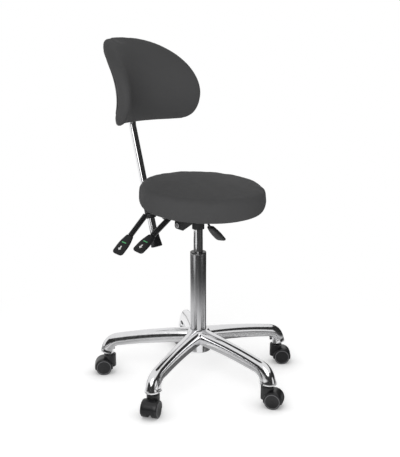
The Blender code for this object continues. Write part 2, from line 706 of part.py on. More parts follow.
def bent_path(points, bend_radius, steps=BEND_STEPS):
    """The corner points of a path in (x, z), each inner corner rounded."""
    path = [Vector(points[0])]
    for before, corner, after in zip(points, points[1:], points[2:]):
        corner = Vector(corner)
        back, ahead = (Vector(before) - corner), (Vector(after) - corner)
        turn = math.pi - back.angle(ahead)
        if turn < STRAIGHT_ENOUGH:
            continue
        length = min(bend_radius * math.tan(turn / 2.0), back.length / 2.0, ahead.length / 2.0)
        start, end = corner + back.normalized() * length, corner + ahead.normalized() * length
        for i in range(steps + 1):
            t = i / steps
            path.append(start * (1 - t) ** 2 + corner * 2 * t * (1 - t) + end * t**2)
    path.append(Vector(points[-1]))
    return path


def swept(name, path, section, sideways):
    """A section of (across, sideways) points carried along a flat path of (x, z) or (y, z) points."""
    rings = []
    for i, point in enumerate(path):
        before = path[max(i - 1, 0)]
        after = path[min(i + 1, len(path) - 1)]
        along = (after - before).normalized()
        normal = Vector((-along.y, along.x))
        ring = []
        for across, side in section:
            spot = point + normal * across
            ring.append((spot.x, side, spot.y) if sideways == "Y" else (side, spot.x, spot.y))
        rings.append(ring)
    return lofted(name, rings)


def paddle_rings():
    """A flat handle that widens to a rounded end, as rings along its length (x along, y across)."""
    half = PADDLE_THICKNESS / 2.0
    rings = []
    for t in PADDLE_STATIONS:
        swell = math.sin(math.pi / 2.0 * min(1.0, t / PADDLE_SWELL_SHARE))
        width = PADDLE_ROOT_HALF + (PADDLE_END_HALF - PADDLE_ROOT_HALF) * swell
        short = max(0.0, PADDLE_CORNER - (1.0 - t) * PADDLE_LENGTH)
        width += math.sqrt(PADDLE_CORNER**2 - short**2) - PADDLE_CORNER
        thick = half * (1.0 - PADDLE_THINNING * t**3)
        edge = min(thick, width) * PADDLE_EDGE_SHARE
        outline = rounded(width, thick, edge, steps=PADDLE_EDGE_STEPS)
        rings.append([(t * PADDLE_LENGTH, u, v) for u, v in outline])
    return rings


def sleeve_mesh(name):
    """A ribbed sleeve round the rod: ridges and grooves by turns, and a plain bore."""
    pitch = SLEEVE_LENGTH / SLEEVE_RIBS
    bore = LEVER_ROD_RADIUS + CLEARANCE
    profile = [(bore, 0.0)]
    for rib in range(SLEEVE_RIBS):
        profile.append((SLEEVE_GROOVE_RADIUS, rib * pitch))
        profile.append((SLEEVE_RIDGE_RADIUS, (rib + 0.5) * pitch))
    profile += [(SLEEVE_GROOVE_RADIUS, SLEEVE_LENGTH), (bore, SLEEVE_LENGTH)]
    return turned(name, profile[::-1], SLEEVE_FACETS)


def make_lever(name, empty, pivot, elbow, drop, paddle_start, side, tongue, turn, finishes, sleeved):
    """A bent rod with a trunnion, an optional ribbed sleeve and a paddle, in the lever's own frame."""
    steel, rubber, paddle_finish = finishes
    corner = Vector((elbow[0] - pivot[0], elbow[1] - pivot[2]))
    fall = math.radians(drop)
    along = Vector((side * math.cos(fall), -math.sin(fall)))
    rod_end = corner + along * (paddle_start + PADDLE_SOCKET)
    inner = Vector((-side * tongue, 0.0))
    path = bent_path([inner, Vector((0.0, 0.0)), corner, rod_end], LEVER_BEND_RADIUS)
    section = circle(LEVER_ROD_RADIUS, ROD_FACETS)
    bar = add(f"{name}_rod", swept(f"{name}_rod", path, section, "Y"), steel, empty)
    join(bar, rod(f"{name}_trunnion", TRUNNION_RADIUS, -LUG_SPACING, LUG_SPACING, "Y", ROD_FACETS))
    lie = Matrix.Rotation(fall * side, 4, "Y")
    if side < 0:
        lie = lie @ Matrix.Rotation(math.pi, 4, "Z")
    at_corner = Matrix.Translation((corner.x, 0.0, corner.y)) @ lie
    if sleeved:
        upright = Matrix.Rotation(math.radians(90.0), 4, "Y")
        place = at_corner @ Matrix.Translation((SLEEVE_START, 0, 0)) @ upright
        add(f"{name}_sleeve", sleeve_mesh(f"{name}_sleeve"), rubber, empty, place)
    twist = Matrix.Rotation(math.radians(turn) * side, 4, "X")
    place = at_corner @ Matrix.Translation((paddle_start, 0, 0)) @ twist
    paddle = add(f"{name}_paddle", lofted(f"{name}_paddle", paddle_rings()), paddle_finish, empty, place)
    socket_radius, socket_end = LEVER_ROD_RADIUS + CLEARANCE, PADDLE_SOCKET + CLEARANCE
    cut(paddle, rod(f"{name}_socket", socket_radius, -STEEL, socket_end, "X", ROD_FACETS))
    return bar


def make_levers(gas, seat_lever, back_lever, finishes):
    paddle_after_sleeve = SLEEVE_START + SLEEVE_LENGTH + CLEARANCE
    gas_rod = make_lever(
        "gas_lever", gas, GAS_PIVOT, GAS_ELBOW, GAS_DROP, GAS_PADDLE_START, 1.0,
        GAS_PIVOT[0], GAS_PADDLE_TWIST, finishes, sleeved=False,
    )
    # A tongue carries the rod's inner end over the valve pin.
    tongue_end, tongue_start = VALVE_RADIUS - GAS_PIVOT[1], -LEVER_ROD_RADIUS
    tongue_half, tongue_middle = (tongue_end - tongue_start) / 2.0, (tongue_end + tongue_start) / 2.0
    tongue_corner = LEVER_ROD_RADIUS / 2.0
    over_pin = rounded(LEVER_ROD_RADIUS, tongue_half, tongue_corner, u=-GAS_PIVOT[0], v=tongue_middle)
    join(gas_rod, prism("gas_lever_tongue", over_pin, -LEVER_ROD_RADIUS, LEVER_ROD_RADIUS))
    make_lever(
        "seat_tilt", seat_lever, SEAT_LEVER_PIVOT, SEAT_LEVER_ELBOW, SEAT_LEVER_DROP, paddle_after_sleeve,
        -1.0, LUG_RADIUS, PADDLE_TWIST, finishes, sleeved=True,
    )
    make_lever(
        "back_tilt", back_lever, BACK_LEVER_PIVOT, BACK_LEVER_ELBOW, BACK_LEVER_DROP, paddle_after_sleeve,
        -1.0, LUG_RADIUS, PADDLE_TWIST, finishes, sleeved=True,
    )


# Seat, in a frame on its pivot with the seat level

def plate_top():
    return SEAT_UNDERSIDE - CLEARANCE


def screw_mesh(name, plate):
    """A screw with its head under a plate at z = 0, which it passes, biting into the board above."""
    return turned(name, [
        (0.0, plate + SCREW_BITE), (SCREW_RADIUS, plate + SCREW_BITE), (SCREW_RADIUS, -CLEARANCE),
        (SCREW_HEAD_RADIUS, -CLEARANCE), (SCREW_HEAD_RADIUS, -CLEARANCE - SCREW_HEAD),
        (0.0, -CLEARANCE - SCREW_HEAD),
    ], SCREW_FACETS)


def screw_holes(name, spots, plate):
    """Holes through a plate and on into the board, a little deeper than the screws."""
    depth = plate + SCREW_BITE + CLEARANCE
    hole = rod("screw_hole", SCREW_RADIUS + CLEARANCE, -STEEL, depth, segments=SCREW_FACETS)
    return gathered(name, [(hole, spot) for spot in spots])


def seat_profile():
    """Half of the cushion's section, from the crown down the drawn-in side to the board's pocket."""
    top = SEAT_UNDERSIDE + SEAT_THICKNESS
    shoulder = SEAT_RADIUS - SEAT_TOP_ROUND
    profile = []
    for i in range(SEAT_CROWN_STEPS):
        share = i / SEAT_CROWN_STEPS
        profile.append((shoulder * share, top + SEAT_CROWN * (1.0 - share**2)))
    profile += arc(shoulder, top - SEAT_TOP_ROUND, SEAT_TOP_ROUND, 90.0, 0.0, SEAT_ROUND_STEPS)
    foot, ankle = SEAT_RADIUS - SEAT_DRAW_IN - SEAT_BOTTOM_ROUND, SEAT_UNDERSIDE + SEAT_BOTTOM_ROUND
    profile += arc(foot, ankle, SEAT_BOTTOM_ROUND, 0.0, -90.0, SEAT_ROUND_STEPS)
    pocket = SEAT_UNDERSIDE + BOARD_THICKNESS + CLEARANCE
    mouth = BOARD_RADIUS + CLEARANCE
    return profile + [(mouth, SEAT_UNDERSIDE), (mouth, pocket), (0.0, pocket)]


def ear_outline():
    top = plate_top() - STEEL / 2.0
    return [
        (EAR_REAR, top), (EAR_REAR, EAR_BOTTOM / 2.0), (EAR_REAR + EAR_BOTTOM / 2.0, EAR_BOTTOM),
        (EAR_TOE, EAR_BOTTOM), (EAR_SLOPE_Y, EAR_SLOPE_Z), (EAR_FRONT, top),
    ]


def make_seat(seat, carrier, steel, black_metal, wood, leather):
    plate_bottom = plate_top() - STEEL
    centre = Matrix.Translation((0, SEAT_CENTRE_Y, 0))
    outline = rounded(PLATE_HALF_WIDTH, PLATE_HALF_LENGTH, PLATE_CORNER, v=SEAT_CENTRE_Y)
    plate = add("seat_plate", prism("seat_plate", outline, plate_bottom, plate_top()), black_metal, seat)
    ear_in = HOUSING_HALF + EAR_GAP
    join(plate, prism("right_ear", ear_outline(), -ear_in - STEEL, -ear_in, "X"))
    join(plate, prism("left_ear", ear_outline(), ear_in, ear_in + STEEL, "X"))
    past = ear_in + 2.0 * STEEL
    cut(plate, rod("ear_holes", PIN_RADIUS + CLEARANCE, -past, past, "X"))
    spots = [
        Matrix.Translation((x, SEAT_CENTRE_Y + y, plate_bottom))
        for x in (-SCREW_SPREAD_X, SCREW_SPREAD_X) for y in (-SCREW_SPREAD_Y, SCREW_SPREAD_Y)
    ]
    holes = screw_holes("seat_screw_holes", spots, STEEL)
    cut(plate, holes)
    board_top = SEAT_UNDERSIDE + BOARD_THICKNESS
    disc = rod("seat_board", BOARD_RADIUS, SEAT_UNDERSIDE, board_top, segments=SEAT_FACETS)
    board = add("seat_board", moved(disc, centre), wood, seat)
    cut(board, holes.copy())
    cushion = moved(turned("seat_cushion", seat_profile(), SEAT_FACETS), centre)
    add("seat_cushion", cushion, leather, seat)
    for index, spot in enumerate(spots):
        name = f"seat_screw_{index + 1}"
        add(name, screw_mesh(name, STEEL), steel, seat, spot)
    pin = pin_mesh("seat_pivot_pin", ear_in + STEEL + CLEARANCE)
    add("seat_pivot_pin", pin, steel, carrier, Matrix.Translation((0, SEAT_PIVOT_Y, SEAT_PIVOT_Z)))


# Back arm and bar, in a frame on the arm's pivot

def bar_frame():
    """From the bar's frame, with z up the bar and its origin level with the arm, to the arm's frame."""
    place = Matrix.Translation((0, BAR_ARM_Y - BACK_PIVOT_Y, BAR_ARM_Z - BACK_PIVOT_Z))
    return place @ Matrix.Rotation(math.radians(-BAR_LEAN), 4, "X")


def sleeve_tube(name, half_x, half_y, round_edge, wall, low, high):
    """A straight tube of rounded rectangular section about a bar."""
    tube = prism(name, rounded(half_x + wall, half_y + wall, round_edge + wall), low, high)
    hole = prism(f"{name}_bore", rounded(half_x, half_y, round_edge), low - STEEL, high + STEEL)
    return tube, hole


def bar_path():
    """Straight up the bar's lean, then bent to stand upright behind the pad, in (y, z)."""
    lean = math.radians(BAR_LEAN)
    corner = Vector((0.0, BAR_ABOVE))
    upright = Vector((-math.sin(lean), math.cos(lean)))
    points = [Vector((0.0, -BAR_BELOW)), corner, corner + upright * BAR_TOP_LENGTH]
    return bent_path(points, BAR_BEND_RADIUS, BAR_BEND_STEPS)


def make_back_arm(back_arm, carrier, steel, black_metal, black):
    slide = CLEARANCE
    half_x, half_y = BAR_WIDTH / 2.0 + slide, BAR_DEPTH / 2.0 + slide
    half_guide = GUIDE_LENGTH / 2.0
    to_arm = bar_frame()
    liner_x, liner_y = half_x + GUIDE_WALL + CLEARANCE, half_y + GUIDE_WALL + CLEARANCE
    liner_round = BAR_ROUND + GUIDE_WALL
    collar, collar_hole = sleeve_tube(
        "collar", liner_x, liner_y, liner_round, COLLAR_WALL, -half_guide, half_guide)
    front = BAR_ARM_Y - BACK_PIVOT_Y - liner_y - COLLAR_WALL / 2.0
    half = ARM_HEIGHT / 2.0
    boss = arc(0.0, 0.0, ARM_BOSS, ARM_BOSS_START, 360.0 - ARM_BOSS_START, ARM_BOSS_STEPS)
    outline = [*boss, (ARM_BOSS, -half), (front, -half), (front, half), (ARM_BOSS, half)]
    arm = add("back_arm", prism("back_arm", outline, -ARM_HALF, ARM_HALF, "X"), black_metal, back_arm)
    join(arm, moved(collar, to_arm))
    cut(arm, moved(collar_hole, to_arm))
    past = ARM_HALF + STEEL
    cut(arm, rod("arm_pin_hole", PIN_RADIUS + CLEARANCE, -past, past, "X"))
    guide_end = half_guide + GUIDE_FLANGE
    liner, liner_hole = sleeve_tube(
        "bar_guide", half_x, half_y, BAR_ROUND, GUIDE_WALL, -guide_end, guide_end)
    guide = add("bar_guide", liner, black, back_arm, to_arm)
    flange = rounded(liner_x + COLLAR_WALL, liner_y + COLLAR_WALL, liner_round + COLLAR_WALL)
    seat_of_flange = half_guide + CLEARANCE
    join(guide, gathered("guide_flanges", [
        (prism("flange", flange, seat_of_flange, seat_of_flange + GUIDE_FLANGE), Matrix()),
        (prism("flange", flange, -seat_of_flange - GUIDE_FLANGE, -seat_of_flange), Matrix()),
    ]))
    cut(guide, liner_hole)
    pin = pin_mesh("back_pivot_pin", HOUSING_HALF + CLEARANCE)
    add("back_pivot_pin", pin, steel, carrier, Matrix.Translation((0, BACK_PIVOT_Y, BACK_PIVOT_Z)))


def make_bar(backrest, chrome, black):
    section = rounded(BAR_DEPTH / 2.0, BAR_WIDTH / 2.0, BAR_ROUND)
    add("back_bar", swept("back_bar", bar_path(), section, "X"), chrome, backrest)
    pocket_x, pocket_y = BAR_WIDTH / 2.0 + CLEARANCE, BAR_DEPTH / 2.0 + CLEARANCE
    top = CAP_POCKET - BAR_BELOW
    bottom = top - CAP_LENGTH
    mouth = rounded(pocket_x + CAP_WALL, pocket_y + CAP_WALL, BAR_ROUND)
    tail = rounded(CAP_END_WIDTH / 2.0, CAP_END_DEPTH / 2.0, BAR_ROUND)
    rings = [[(x, y, top) for x, y in mouth], [(x, y, bottom) for x, y in tail]]
    cap = add("bar_end_cap", lofted("bar_end_cap", rings), black, backrest)
    pocket = rounded(pocket_x, pocket_y, BAR_ROUND)
    cut(cap, prism("cap_pocket", pocket, -BAR_BELOW - CLEARANCE, top + STEEL))


# Backrest pad

def pad_point(s, v, depth):
    """World point, from the column's foot: the pad bends round the sitter and its ends curl back.

    s is the way across, v the way up and depth the way back from the pad's middle surface.
    """
    bend = s / BACK_CURVE
    radius = BACK_CURVE + depth
    hollow_radius = BACK_LUMBAR_RADIUS if v > BACK_LUMBAR_V else BACK_FLARE_RADIUS
    x = radius * math.sin(bend)
    y = radius * math.cos(bend) - BACK_CURVE + (v - BACK_LUMBAR_V) ** 2 / (2.0 * hollow_radius)
    lean = math.radians(BACK_LEAN)
    return Vector((
        x,
        BACK_FOOT_Y + y * math.cos(lean) + v * math.sin(lean),
        BACK_FOOT_Z - y * math.sin(lean) + v * math.cos(lean),
    ))


def pad_at(x, z, depth):
    """The pad's point with this x and z at this depth."""
    s = BACK_CURVE * math.asin(x / (BACK_CURVE + depth))
    v = BACK_LUMBAR_V
    for _ in range(PAD_SEARCH_STEPS):
        v += (z - pad_point(s, v, depth).z) / math.cos(math.radians(BACK_LEAN))
    return pad_point(s, v, depth)


def pad_outline(angle, share):
    """(s, v) on the half-moon outline, drawn towards its middle by share; its low corners hang."""
    c, s = math.cos(angle), math.sin(angle)
    power = BACK_TOP_POWER if s >= 0.0 else BACK_LOW_POWER
    rise = BACK_HEIGHT - BACK_WAIST if s >= 0.0 else BACK_WAIST
    reach = (abs(c) ** power + abs(s) ** power) ** (-1.0 / power) * share
    across = BACK_HALF_WIDTH * reach * c
    droop = BACK_ARCH * abs(across / BACK_HALF_WIDTH) ** BACK_ARCH_POWER
    return across, BACK_WAIST + rise * reach * s - droop


def pad_half(share):
    """Half the pad's thickness at a share of the way from its middle to its edge."""
    return BACK_THICKNESS / 2.0 * math.sqrt(1.0 - share**BACK_EDGE_POWER)


def pad_ring(share, depth):
    angles = [math.tau * i / BACK_FACETS for i in range(BACK_FACETS)]
    return [pad_point(*pad_outline(angle, share), depth) for angle in angles]


def pad_solid(name, rings, to_local):
    """Rings from the front's middle over the edge to the back's middle, closed by a fan at each end."""
    bm = bmesh.new()
    loops = [[bm.verts.new(to_local @ point) for point in ring] for ring in rings]
    for near, far in zip(loops, loops[1:]):
        for i in range(len(near)):
            j = (i + 1) % len(near)
            bm.faces.new((near[i], near[j], far[j], far[i]))
    for loop in (loops[0], loops[-1]):
        middle = bm.verts.new(sum((vert.co for vert in loop), Vector()) / len(loop))
        for i in range(len(loop)):
            bm.faces.new((loop[i], loop[(i + 1) % len(loop)], middle))
    return mesh_of(name, bm)


def make_backrest(backrest, to_local, steel, black_metal, black, leather):
    rings = [pad_ring(share, -pad_half(share)) for share in PAD_OUTER_SHARES] + [pad_ring(1.0, 0.0)]
    back_shares = [share for share in reversed(PAD_OUTER_SHARES) if share > SHELL_SHARE]
    rings += [pad_ring(share, pad_half(share)) for share in back_shares]
    mouth_depth = pad_half(SHELL_SHARE)
    floor_depth = mouth_depth - SHELL_THICKNESS - SHELL_GAP
    rings += [pad_ring(SHELL_SHARE, mouth_depth), pad_ring(SHELL_SHARE, floor_depth)]
    rings += [pad_ring(share, floor_depth) for share in PAD_INNER_SHARES]
    add("backrest_cushion", pad_solid("backrest_cushion", rings, to_local), leather, backrest)
    edge = SHELL_SHARE - SHELL_GAP / BACK_WAIST
    shell_front = floor_depth + SHELL_GAP
    shell_rings = [pad_ring(share, mouth_depth) for share in reversed(PAD_INNER_SHARES)]
    shell_rings += [pad_ring(edge, mouth_depth), pad_ring(edge, shell_front)]
    shell_rings += [pad_ring(share, shell_front) for share in PAD_INNER_SHARES]
    shell = add("backrest_shell", pad_solid("backrest_shell", shell_rings, to_local), black, backrest)

    bar_end = bar_top()
    bar_front = bar_end.y - BAR_DEPTH / 2.0 - CLEARANCE
    plate_front = bar_front - BACK_PLATE
    boss_back = plate_front - CLEARANCE
    half_z = BOSS_HEIGHT / 2.0
    middle_z = bar_end.z - BOSS_BELOW_BAR_TOP - half_z
    face = rounded(BOSS_HALF_WIDTH, half_z, BOSS_ROUND, v=middle_z)
    half_face = [(x / 2.0, (z + middle_z) / 2.0) for x, z in face]
    inside = shell_front + SHELL_THICKNESS / 2.0
    boss = [[pad_at(x, z, inside) for x, z in half_face], [pad_at(x, z, inside) for x, z in face]]
    boss += [[Vector((x, boss_back, z)) for x, z in face]]
    join(shell, pad_solid("shell_boss", boss, to_local))
    plate_mesh = moved(prism("backrest_plate", face, plate_front, bar_front, "Y"), to_local)
    plate = add("backrest_plate", plate_mesh, black_metal, backrest)
    lay = Matrix.Rotation(math.radians(90.0), 4, "X")
    spots = [
        to_local @ Matrix.Translation((x, bar_front, middle_z)) @ lay
        for x in (-BACK_SCREW_SPREAD, BACK_SCREW_SPREAD)
    ]
    holes = screw_holes("back_screw_holes", spots, BACK_PLATE)
    cut(plate, holes)
    cut(shell, holes.copy())
    for index, spot in enumerate(spots):
        name = f"backrest_screw_{index + 1}"
        add(name, screw_mesh(name, BACK_PLATE), steel, backrest, spot)


def bar_top():
    """The middle of the bar's top end, from the column's foot."""
    end = bar_path()[-1]
    return Vector((0.0, BACK_PIVOT_Y, BACK_PIVOT_Z)) + bar_frame() @ Vector((0.0, end.x, end.y))


def main():
    for obj in list(bpy.data.objects):
        bpy.data.objects.remove(obj)
    aluminium = finish("polished_aluminium", (0.82, 0.82, 0.83), 0.16, 1.0)
    chrome = finish("chrome", (0.86, 0.86, 0.87), 0.06, 1.0)
    column_finish = finish("dark_chrome", (0.42, 0.42, 0.43), 0.2, 1.0)
    steel = finish("zinc_steel", (0.62, 0.62, 0.63), 0.35, 1.0)
    black_metal = finish("black_painted_steel", (0.022, 0.022, 0.024), 0.45, 0.0)
    black = finish("black_plastic", (0.018, 0.018, 0.02), 0.42, 0.0)
    tread = finish("wheel_nylon", (0.035, 0.035, 0.038), 0.5, 0.0)
    rubber = finish("sleeve_rubber", (0.015, 0.015, 0.016), 0.6, 0.0)
    wood = finish("plywood", (0.45, 0.32, 0.19), 0.7, 0.0)
    leather = finish("charcoal_leatherette", (0.065, 0.065, 0.066), 0.55, 0.0)

    base = axis_empty("stool", None, (0, COLUMN_Y, 0))
    piston = axis_empty("seat_swivel_axis", base, (0, 0, 0))
    carrier = axis_empty("seat_lift_axis", piston, (0, 0, 0))
    valve = axis_empty("valve_axis", carrier, (0, 0, valve_top()))
    gas = axis_empty("gas_lever_axis", carrier, GAS_PIVOT)
    seat_lever = axis_empty("seat_tilt_lever_axis", carrier, SEAT_LEVER_PIVOT)
    back_lever = axis_empty("back_tilt_lever_axis", carrier, BACK_LEVER_PIVOT)
    seat = axis_empty("seat_tilt_axis", carrier, (0, SEAT_PIVOT_Y, SEAT_PIVOT_Z), SEAT_TILT)
    back_arm = axis_empty("back_tilt_axis", carrier, (0, BACK_PIVOT_Y, BACK_PIVOT_Z))
    backrest = axis_empty("back_height_axis", back_arm, (0, 0, 0))
    backrest.matrix_local = bar_frame()
    to_bar = (Matrix.Translation((0, BACK_PIVOT_Y, BACK_PIVOT_Z)) @ bar_frame()).inverted()

    make_star_base(base, aluminium)
    make_gas_lift(base, piston, carrier, valve, steel, chrome, black, column_finish)
    make_casters(base, black, tread, steel)
    make_housing_body(carrier, black_metal)
    make_levers(gas, seat_lever, back_lever, (steel, rubber, black))
    make_seat(seat, carrier, steel, black_metal, wood, leather)
    make_back_arm(back_arm, carrier, steel, black_metal, black)
    make_bar(backrest, chrome, black)
    make_backrest(backrest, to_bar, steel, black_metal, black, leather)


main()
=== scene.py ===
import bpy
import math
import numpy as np
from mathutils import Matrix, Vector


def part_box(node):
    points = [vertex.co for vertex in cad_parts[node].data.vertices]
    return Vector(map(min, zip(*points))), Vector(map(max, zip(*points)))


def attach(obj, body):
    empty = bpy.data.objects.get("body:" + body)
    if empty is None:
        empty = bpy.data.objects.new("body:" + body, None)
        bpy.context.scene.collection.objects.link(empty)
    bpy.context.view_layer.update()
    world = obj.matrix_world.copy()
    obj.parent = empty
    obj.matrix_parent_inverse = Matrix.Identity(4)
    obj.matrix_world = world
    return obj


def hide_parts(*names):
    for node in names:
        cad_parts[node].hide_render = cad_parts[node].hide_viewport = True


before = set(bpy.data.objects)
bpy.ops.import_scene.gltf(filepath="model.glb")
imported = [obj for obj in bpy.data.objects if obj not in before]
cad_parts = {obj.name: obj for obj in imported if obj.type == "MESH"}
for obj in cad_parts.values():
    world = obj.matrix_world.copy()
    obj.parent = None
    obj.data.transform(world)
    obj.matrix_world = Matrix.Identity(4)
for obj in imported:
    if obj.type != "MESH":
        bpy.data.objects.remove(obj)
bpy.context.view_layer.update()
print("stage: frame loaded")

fullTurn = 2.0 * math.pi
quarterTurn = math.pi / 2.0
tubeLow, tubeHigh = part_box("column_tube")
columnFoot = Matrix.Translation((0.0, (tubeLow.y + tubeHigh.y) / 2.0, 0.0))
axleGap = 0.0003  # running clearance between turning parts
pole = 0.0002  # radius of the smallest ring of a turned solid
filletShare = 0.48  # the most of an edge that one fillet takes up
sharpAngle = math.radians(38.0)


# Surfaces: every piece is made of closed sheets of points in rows and columns

def turnAbout(axis, degrees):
    return Matrix.Rotation(math.radians(degrees), 4, axis)


def shift(x, y, z):
    return Matrix.Translation((x, y, z))


def placed(points, matrix):
    whole = np.array(matrix)
    return points @ whole[:3, :3].T + whole[:3, 3]


def grid(x, y, z):
    # one point for each row and column, from coordinates that may change along only one of them
    return np.stack(np.broadcast_arrays(x, y, z), -1)


def circle(columns):
    return np.arange(columns) * fullTurn / columns


def partWay(start, end, share):
    return start + (end - start) * share


def smoothStep(low, high, value):
    share = np.clip((value - low) / (high - low), 0.0, 1.0)
    return share * share * (3.0 - 2.0 * share)


def signedPower(value, power):
    return np.sign(value) * np.abs(value) ** power


def filleted(corners, radius, steps=5, closed=False):
    # each corner becomes a parabola that starts and ends a fillet's length away from it
    points = np.asarray(corners, float)
    if closed:
        before, middle, after = np.roll(points, 1, -2), points, np.roll(points, -1, -2)
    else:
        before, middle, after = points[..., :-2, :], points[..., 1:-1, :], points[..., 2:, :]
    size = np.broadcast_to(np.asarray(radius, float), middle.shape[:-1])[..., None]

    def towards(other):
        way = other - middle
        length = np.linalg.norm(way, axis=-1, keepdims=True)
        return (middle + way / length * np.minimum(size, filletShare * length))[..., None, :]

    t = np.linspace(0.0, 1.0, steps + 1)[:, None]
    curve = (1 - t) ** 2 * towards(before) + 2 * t * (1 - t) * middle[..., None, :] + t**2 * towards(after)
    curve = curve.reshape(*points.shape[:-2], -1, points.shape[-1])
    if closed:
        return curve
    return np.concatenate([points[..., :1, :], curve, points[..., -1:, :]], axis=-2)


def turnedRows(profile, columns):
    # radius and height pairs turned about Z: x = r cos a, y = r sin a
    angle = circle(columns)
    radius, height = np.asarray(profile, float).T[:, :, None]
    return grid(radius * np.cos(angle), radius * np.sin(angle), height)


def rodProfile(radius, low, high, fillet):
    return filleted([(pole, low), (radius, low), (radius, high), (pole, high)], fillet)


def roundedBox(halfWidth, halfDepth, corner, steps=6):
    signs = np.array([(1.0, 1.0), (-1.0, 1.0), (-1.0, -1.0), (1.0, -1.0)])
    return filleted(signs * (halfWidth, halfDepth), corner, steps, closed=True)


def slab(outline, low, high):
    # a flat outline at two levels
    return grid(outline[:, 0], outline[:, 1], np.array([[low], [high]]))


def sweptRows(path, section):
    # a section of (across, sideways) pairs carried along a flat path: the across way is the path's normal
    along = np.gradient(path, axis=0)
    along /= np.linalg.norm(along, axis=1, keepdims=True)
    normal = np.stack([-along[:, 1], along[:, 0]], 1)
    flat = path[:, None, :] + normal[:, None, :] * section[None, :, :1]
    return flat[..., 0], section[None, :, 1], flat[..., 1]


def closedSheet(rows, ends="fan", bands=None):
    # quads between rows; the ends are fans, flat faces, or joined to each other as a ring
    count, columns = rows.shape[:2]
    points = rows.reshape(-1, 3)
    joined = count if ends == "ring" else count - 1
    row, column = np.meshgrid(np.arange(joined), np.arange(columns), indexing="ij")
    nextRow, nextColumn = (row + 1) % count, (column + 1) % columns
    quads = np.stack([
        row * columns + column, row * columns + nextColumn,
        nextRow * columns + nextColumn, nextRow * columns + column,
    ], -1).reshape(-1, 4)
    faces = quads.tolist()
    paintOf = np.repeat(np.zeros(joined, int) if bands is None else np.asarray(bands), columns).tolist()
    first, last = np.arange(columns), (count - 1) * columns + np.arange(columns)
    # the signed volume tells whether the faces point outwards
    corners = points[quads]
    volume = np.einsum("ij,ij->", corners[:, 0], np.cross(corners[:, 1], corners[:, 2]))
    volume += np.einsum("ij,ij->", corners[:, 0], np.cross(corners[:, 2], corners[:, 3]))
    if ends != "ring":
        for ring, sign in ((first, -1.0), (last, 1.0)):
            spots = points[ring]
            turn = np.cross(spots, np.roll(spots, -1, 0))
            volume += sign * (turn @ spots.mean(0)).sum()
    if ends == "fan":
        top, low = len(points), len(points) + 1
        points = np.concatenate([points, [rows[0].mean(0), rows[-1].mean(0)]])
        faces += np.stack([np.roll(first, -1), first, np.full(columns, top)], 1).tolist()
        faces += np.stack([last, np.roll(last, -1), np.full(columns, low)], 1).tolist()
        paintOf += [paintOf[0]] * columns + [paintOf[-1]] * columns
    if ends == "flat":
        faces += [first[::-1].tolist(), last.tolist()]
        paintOf += [paintOf[0], paintOf[-1]]
    if volume < 0.0:
        faces = [face[::-1] for face in faces]
    return points, faces, paintOf


def meshOf(name, sheets):
    points, faces, paintOf, used = [], [], [], 0
    for sheetPoints, sheetFaces, sheetPaint in sheets:
        points.append(sheetPoints)
        faces += [[index + used for index in face] for face in sheetFaces]
        paintOf += sheetPaint
        used += len(sheetPoints)
    mesh = bpy.data.meshes.new(name)
    mesh.from_pydata(np.concatenate(points).tolist(), [], faces)
    mesh.polygons.foreach_set("material_index", paintOf)
    mesh.shade_smooth()
    mesh.set_sharp_from_angle(angle=sharpAngle)
    return mesh


def linked(name, data):
    holder = bpy.data.objects.new(name, data)
    bpy.context.scene.collection.objects.link(holder)
    return holder


def show(name, shape, paints, body, node):
    # a finished piece, from sheets or a ready mesh, that rides its body and stands for its CAD node
    mesh = meshOf(name, shape) if isinstance(shape, list) else shape
    for paint in paints:
        mesh.materials.append(paint)
    piece = linked(name, mesh)
    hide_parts(node)
    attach(piece, body)
    return piece


def turnedPiece(name, profile, place, paint, body, node, ends="ring", columns=72):
    sheet = closedSheet(placed(turnedRows(profile, columns), place), ends)
    show(name, [sheet], [paint], body, node)


# Materials

class Wire:
    # one output of a shader node, which takes part in sums
    def __init__(self, paint, socket):
        self.paint = paint
        self.socket = socket

    def sum(self, operation, first, second):
        return self.paint.node("Math", {"operation": operation}, {0: first, 1: second})

    def __add__(self, other):
        return self.sum("ADD", self, other)

    def __radd__(self, other):
        return self.sum("ADD", other, self)

    def __rsub__(self, other):
        return self.sum("SUBTRACT", other, self)

    def __mul__(self, other):
        return self.sum("MULTIPLY", self, other)

    def __rmul__(self, other):
        return self.sum("MULTIPLY", other, self)

    def __pow__(self, other):
        return self.sum("POWER", self, other)


